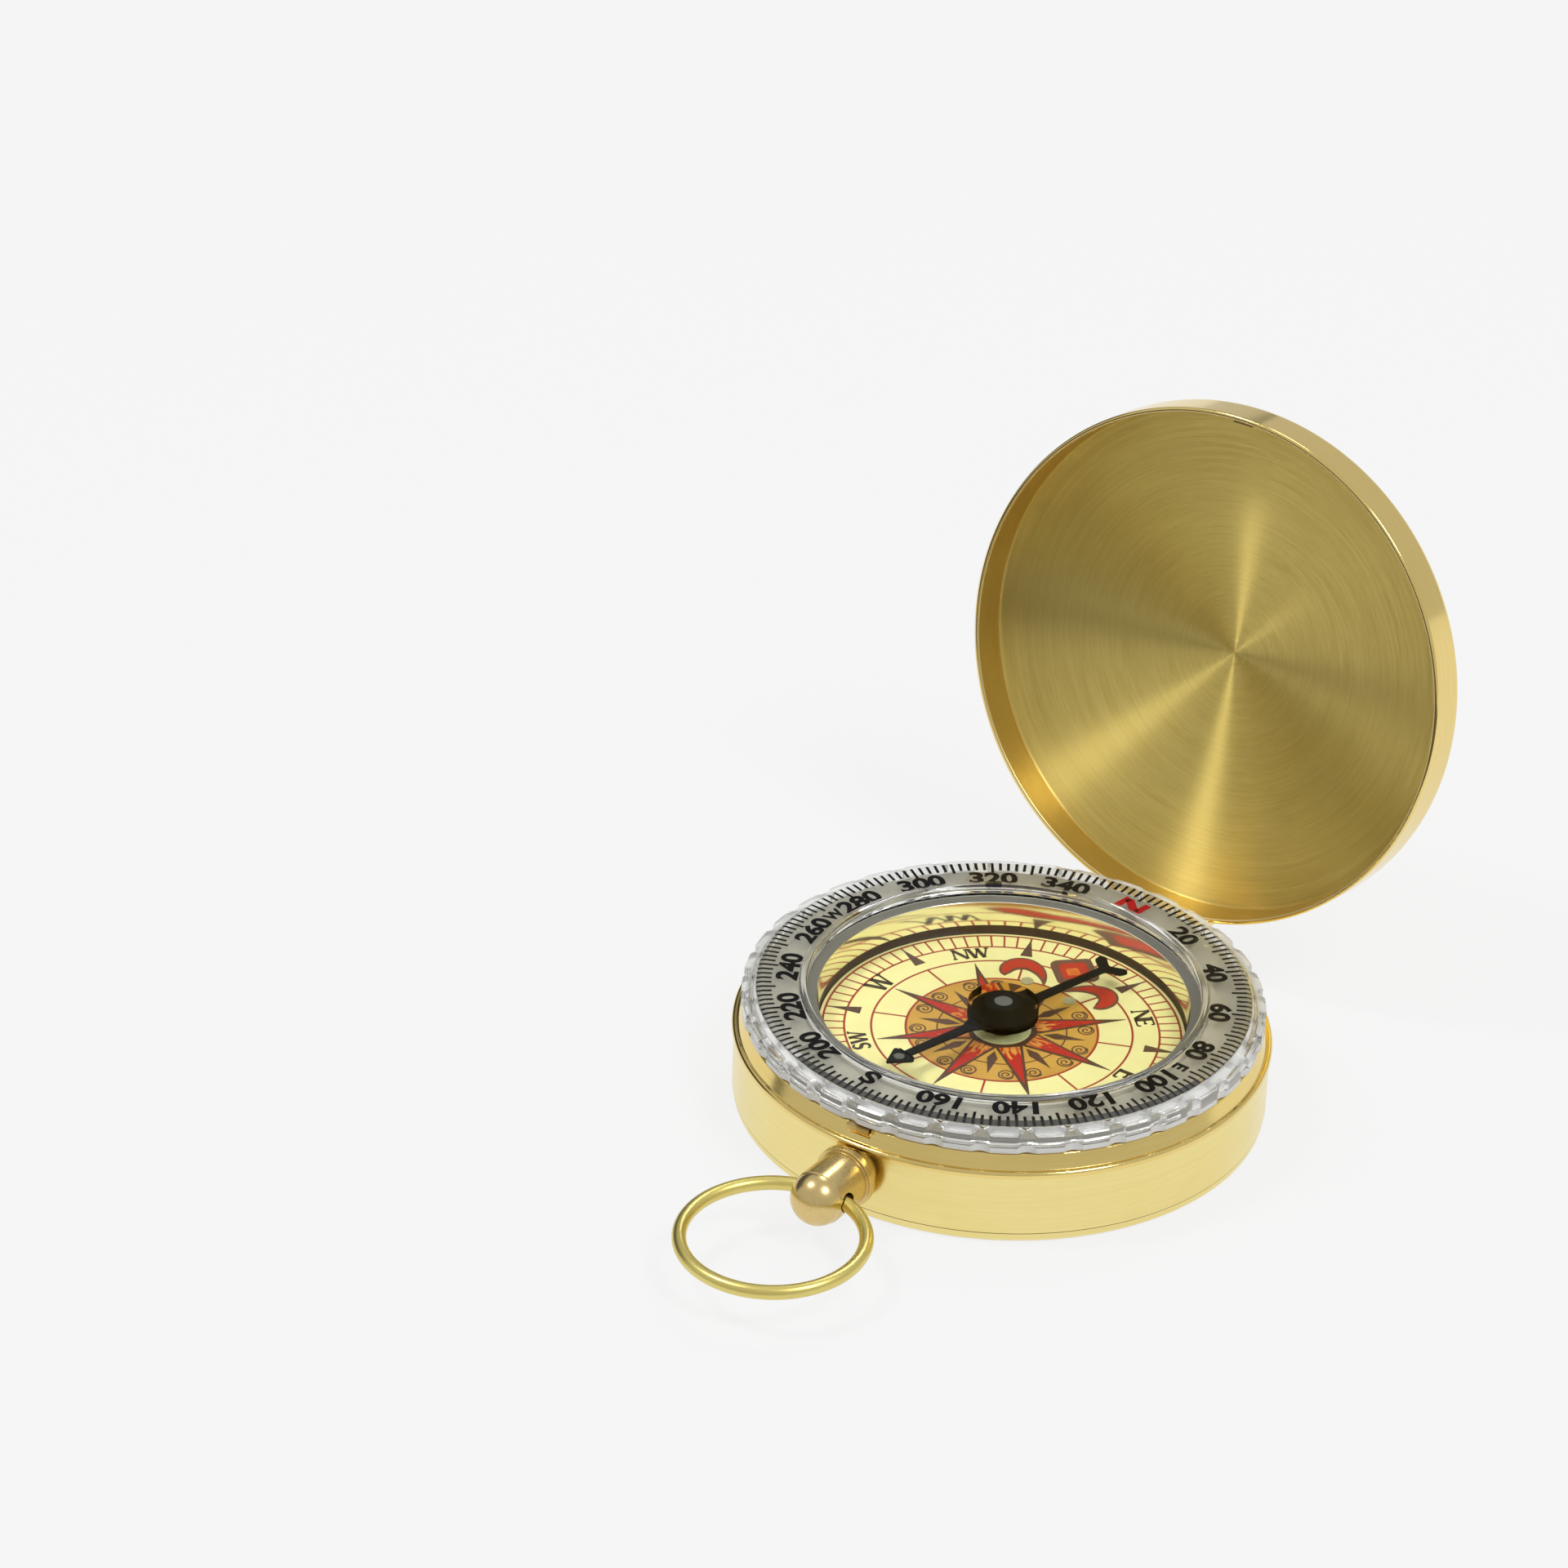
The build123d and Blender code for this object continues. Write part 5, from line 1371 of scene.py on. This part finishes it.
outline = lid_outline()
lid_r, lid_z = outline.T
inside_wall = (lid_z < LID_UNDER - 0.05) & (lid_r < LID_R - 0.7 * LID_T)
inside_floor = np.arange(len(outline)) < np.argmax(inside_wall)
lid_angles = np.linspace(0, 2 * np.pi, LID_COLUMNS, endpoint=False)
grid_piece("lid_pressed", swung_open(lathe(outline, lid_angles)),
           [POLISHED_BRASS, BRUSHED_BRASS, SATIN_BRASS], "lid", "lid_brass", "lid_shell",
           bands=np.where(inside_floor, 1, np.where(inside_wall, 2, 0)))

# %% [markdown]
# The hinge
#
# Three knuckles share one pin: two belong to the case and the middle one to the lid. A small spring wound
# round the pin throws the lid open. Knuckles are turned about the pin's line and their feet are plates.

# %% Hinge
pin_box_low, pin_box_high = node_box("hinge_pin")
HINGE_HALF = node_box("case_hinge_knuckles")[1][0]
HINGE_PIN_R = (pin_box_high[2] - pin_box_low[2]) / 2
KNUCKLE_R, KNUCKLE_W = 1.1, 2.5
FOOT_H, FOOT_IN, FOOT_SIDE = 1.6, 23.4, 0.05
SMALL_TURN = 64


def about_hinge(outline):
    """Turned surface about the hinge's line: the outline's height runs along X."""
    points = lathe(outline, np.linspace(0, 2 * np.pi, SMALL_TURN, endpoint=False))
    return np.stack([points[..., 2], HINGE_Y + points[..., 0], HINGE_Z + points[..., 1]], axis=-1)


def knuckle(x_from, x_to, bore):
    """Short tube round the pin with softened ends."""
    return about_hinge(washer(bore, KNUCKLE_R, x_from, x_to, (0.05, 0.12, 0.12, 0.05)))


def box_shape(low, high):
    """Six-sided block between two corners, as a slab of its rectangle."""
    (x0, y0, z0), (x1, y1, z1) = low, high
    return slab([(x0, y0), (x1, y0), (x1, y1), (x0, y1)], z0, z1)


for side, x_from in (("left", -HINGE_HALF), ("right", HINGE_HALF - KNUCKLE_W)):
    x_to = x_from + KNUCKLE_W
    grid_piece(f"case_knuckle_{side}", knuckle(x_from, x_to, HINGE_PIN_R), POLISHED_BRASS,
               "case", "case_brass", close_cols=True)
    foot = box_shape((x_from + FOOT_SIDE, FOOT_IN, HINGE_Z - FOOT_H / 2),
                     (x_to - FOOT_SIDE, HINGE_Y - HINGE_PIN_R - 0.2, HINGE_Z + FOOT_H / 2))
    sharp_piece(f"case_knuckle_foot_{side}", foot, WALL_BRASS, "case", "case_brass", "case_hinge_knuckles")
hinge_pin_outline = rounded([
    (0, -HINGE_HALF, 0), (HINGE_PIN_R, -HINGE_HALF, 0.15), (HINGE_PIN_R, HINGE_HALF, 0.15),
    (0, HINGE_HALF, 0)], closed=False)
grid_piece("hinge_pin_turned", about_hinge(hinge_pin_outline), STEEL, "case", "steel", "hinge_pin")

LEAF_FROM, LEAF_TO = -0.9, HINGE_HALF - KNUCKLE_W - 0.1
LEAF_IN, LEAF_T, LEAF_REACH, LEAF_Z = CASE_R + 0.15, 0.6, 2.8, HINGE_Z + 0.4
lid_knuckle = knuckle(LEAF_FROM, LEAF_TO, HINGE_PIN_R + 0.05)
grid_piece("lid_knuckle", swung_open(lid_knuckle), POLISHED_BRASS, "lid", "case_brass", close_cols=True)
leaf_points, leaf_faces = box_shape(
    (LEAF_FROM, LEAF_IN, LEAF_Z), (LEAF_TO, LEAF_IN + LEAF_T, LIP_Z + LEAF_REACH))
sharp_piece("lid_leaf", (swung_open(leaf_points), leaf_faces), WALL_BRASS,
            "lid", "case_brass", "lid_hinge_leaf")


def wound_spring(radius, wire, x_from, x_to, turns, count=240, sides=10):
    """Round wire on a helix about the hinge: a circle carried along it, square to the coil's radius."""
    t = np.linspace(0, 1, count)
    angle = 2 * np.pi * turns * t
    outward = np.stack([np.zeros(count), np.cos(angle), np.sin(angle)], axis=1)
    centre = np.array([0, HINGE_Y, HINGE_Z]) + radius * outward
    centre[:, 0] = x_from + (x_to - x_from) * t
    section = np.linspace(0, 2 * np.pi, sides, endpoint=False)
    across = np.cos(section)[None, :, None] * outward[:, None, :]
    sideways = np.sin(section)[None, :, None] * np.array([1.0, 0, 0])
    return centre[:, None, :] + wire * (across + sideways)


spring_low, spring_high = node_box("lid_spring")
SPRING_R, SPRING_WIRE, SPRING_TURNS = 0.8, 0.15, 4
coil_from, coil_to = spring_low[0] + SPRING_WIRE, spring_high[0] - SPRING_WIRE
coils = wound_spring(SPRING_R, SPRING_WIRE, coil_from, coil_to, SPRING_TURNS)
grid_piece("lid_spring_wound", coils, STEEL, "case", "steel", "lid_spring", close_rows=False, close_cols=True)

# %% [markdown]
# The crown and the bow
#
# The crown is a turned push button: a flange, a straight body and a domed end, on a short pendant tube.
# A cross hole carries the bow, a ring of drawn wire. The hole is cut with a boolean, because its edge
# doesn't follow the lathe's grid. The bow is a circle carried round a circle.

# %% Crown and pendant
crown_low, crown_high = node_box("crown_button")
pendant_low, pendant_high = node_box("pendant_tube")
CROWN_Z = (crown_low[2] + crown_high[2]) / 2
FLANGE_R = (crown_high[2] - crown_low[2]) / 2
CROWN_R = 2.6
FLANGE_Y, CROWN_END = crown_high[1], crown_low[1]
BODY_Y = FLANGE_Y - 0.7
DOME_L = 2.5
DOME_Y = CROWN_END + DOME_L
CREASE = 0.08         # step where the dome starts
CROWN_COLUMNS, BODY_ROWS, DOME_ROWS = 160, 24, 20
PENDANT_R, PENDANT_BORE, PENDANT_IN = (pendant_high[2] - pendant_low[2]) / 2, 1.05, -BAND_R + 0.3
HOLE_R, HOLE_REACH, HOLE_SIDES = 0.95, 4.0, 48
HOLE_CRISP_DEG = 40.0
bow_swing = next(j for j in frame["joints"] if j["name"] == "bow_swing")
BOW_Y = bow_swing["pos_m"][1] / MM


def about_crown(outline):
    """Turned surface about the crown's line: the outline's height runs along Y."""
    points = lathe(outline, np.linspace(0, 2 * np.pi, CROWN_COLUMNS, endpoint=False))
    return np.stack([points[..., 0], points[..., 2], CROWN_Z + points[..., 1]], axis=-1)


def crown_outline():
    """Flange, body and a dome that is a quarter of an ellipse."""
    turn = np.linspace(0, np.pi / 2, DOME_ROWS)
    dome_y = DOME_Y - CREASE - (DOME_L - CREASE) * np.sin(turn)
    cap = np.stack([(CROWN_R - CREASE) * np.cos(turn), dome_y], axis=1)
    stem = rounded([
        (0, FLANGE_Y, 0), (FLANGE_R, FLANGE_Y, 0.06), (FLANGE_R, BODY_Y, 0.06), (CROWN_R, BODY_Y, 0.06),
        (CROWN_R, DOME_Y, 0)], closed=False)
    body_y = np.linspace(stem[-2, 1], DOME_Y, BODY_ROWS)[:-1]
    body = np.stack([np.full(len(body_y), CROWN_R), body_y], axis=1)
    return np.concatenate([stem[:-2], body, cap])


def cross_hole():
    """Tube across the crown at the bow's line: a circle at each of its two ends."""
    a = np.linspace(0, 2 * np.pi, HOLE_SIDES, endpoint=False)
    ends = np.array([-HOLE_REACH, HOLE_REACH])[:, None]
    grid = np.broadcast_arrays(ends, BOW_Y + HOLE_R * np.cos(a), CROWN_Z + HOLE_R * np.sin(a))
    return surface("cross_hole", np.stack(grid, axis=-1), False, True)


def with_hole(mesh, cutter_mesh):
    """Boolean difference of a mesh and a cutter whose two open ends are filled first."""
    bm = bmesh.new()
    bm.from_mesh(cutter_mesh)
    bmesh.ops.holes_fill(bm, edges=bm.edges, sides=0)
    bmesh.ops.recalc_face_normals(bm, faces=bm.faces)
    bm.to_mesh(cutter_mesh)
    bm.free()
    body = bpy.data.objects.new("crown_blank", mesh)
    tool = bpy.data.objects.new("crown_drill", cutter_mesh)
    for held in (body, tool):
        scene.collection.objects.link(held)
    cut = body.modifiers.new("cross_hole", "BOOLEAN")
    cut.object = tool
    cut.solver = "EXACT"
    made = bpy.data.meshes.new_from_object(body.evaluated_get(bpy.context.evaluated_depsgraph_get()))
    for held in (body, tool):
        bpy.data.objects.remove(held)
    made.set_sharp_from_angle(angle=np.radians(HOLE_CRISP_DEG))
    return made


crown_mesh = with_hole(surface("crown_blank", about_crown(crown_outline())), cross_hole())
crown_mesh.name = "crown_turned"
place("crown_turned", crown_mesh, CROWN_BRASS, "crown", "crown_brass", "crown_button")
pendant_outline = washer(PENDANT_BORE, PENDANT_R, pendant_low[1], PENDANT_IN, (0.05, 0.12, 0.05, 0.05))
grid_piece("pendant_turned", about_crown(pendant_outline), CROWN_BRASS, "case", "case_brass", "pendant_tube",
           close_cols=True)

# %% Bow
bow_low, bow_high = node_box("bow_ring")
bow_axis = np.array(next(m for m in frame["record"]["mounts"] if m["name"] == "bow_loop")["axis"])
bow_centre = (bow_low + bow_high) / 2
BOW_WIRE = 0.66
BOW_R = bow_high[0] - BOW_WIRE
BOW_COLUMNS, BOW_SIDES = 256, 40


def bow_surface():
    """Torus: at each angle round the bow, a circle of the wire's radius in the plane of the spoke and
    the bow's axis."""
    across = np.array([1.0, 0, 0])
    along = np.cross(bow_axis, across)
    around = np.linspace(0, 2 * np.pi, BOW_COLUMNS, endpoint=False)
    section = np.linspace(0, 2 * np.pi, BOW_SIDES, endpoint=False)
    spoke = np.cos(around)[:, None] * across + np.sin(around)[:, None] * along
    out = spoke[:, None, :] * (BOW_R + BOW_WIRE * np.cos(section))[None, :, None]
    return bow_centre + out + BOW_WIRE * np.sin(section)[None, :, None] * bow_axis


grid_piece("bow_wire", bow_surface(), BOW_BRASS, "bow", "bow_brass", "bow_ring", close_cols=True)

# %% [markdown]
# Pieces that stay as they are
#
# The springs, the latch and the stem hide inside the case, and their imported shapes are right. They keep
# those shapes and only get a finish.

# %% Finishes for the inner pieces
KEPT = {
    "bezel_spring_wire": STEEL, "crown_spring": STEEL, "crown_stem": STEEL, "latch_nut": STEEL,
    "latch_hook": CROWN_BRASS, "needle_jewel": JEWEL, "lid_catch_lug": POLISHED_BRASS,
}
for name, material in KEPT.items():
    kept = frame["nodes"][name]
    kept.data.materials.clear()
    kept.data.materials.append(material)
print("kept nodes", sorted(KEPT))
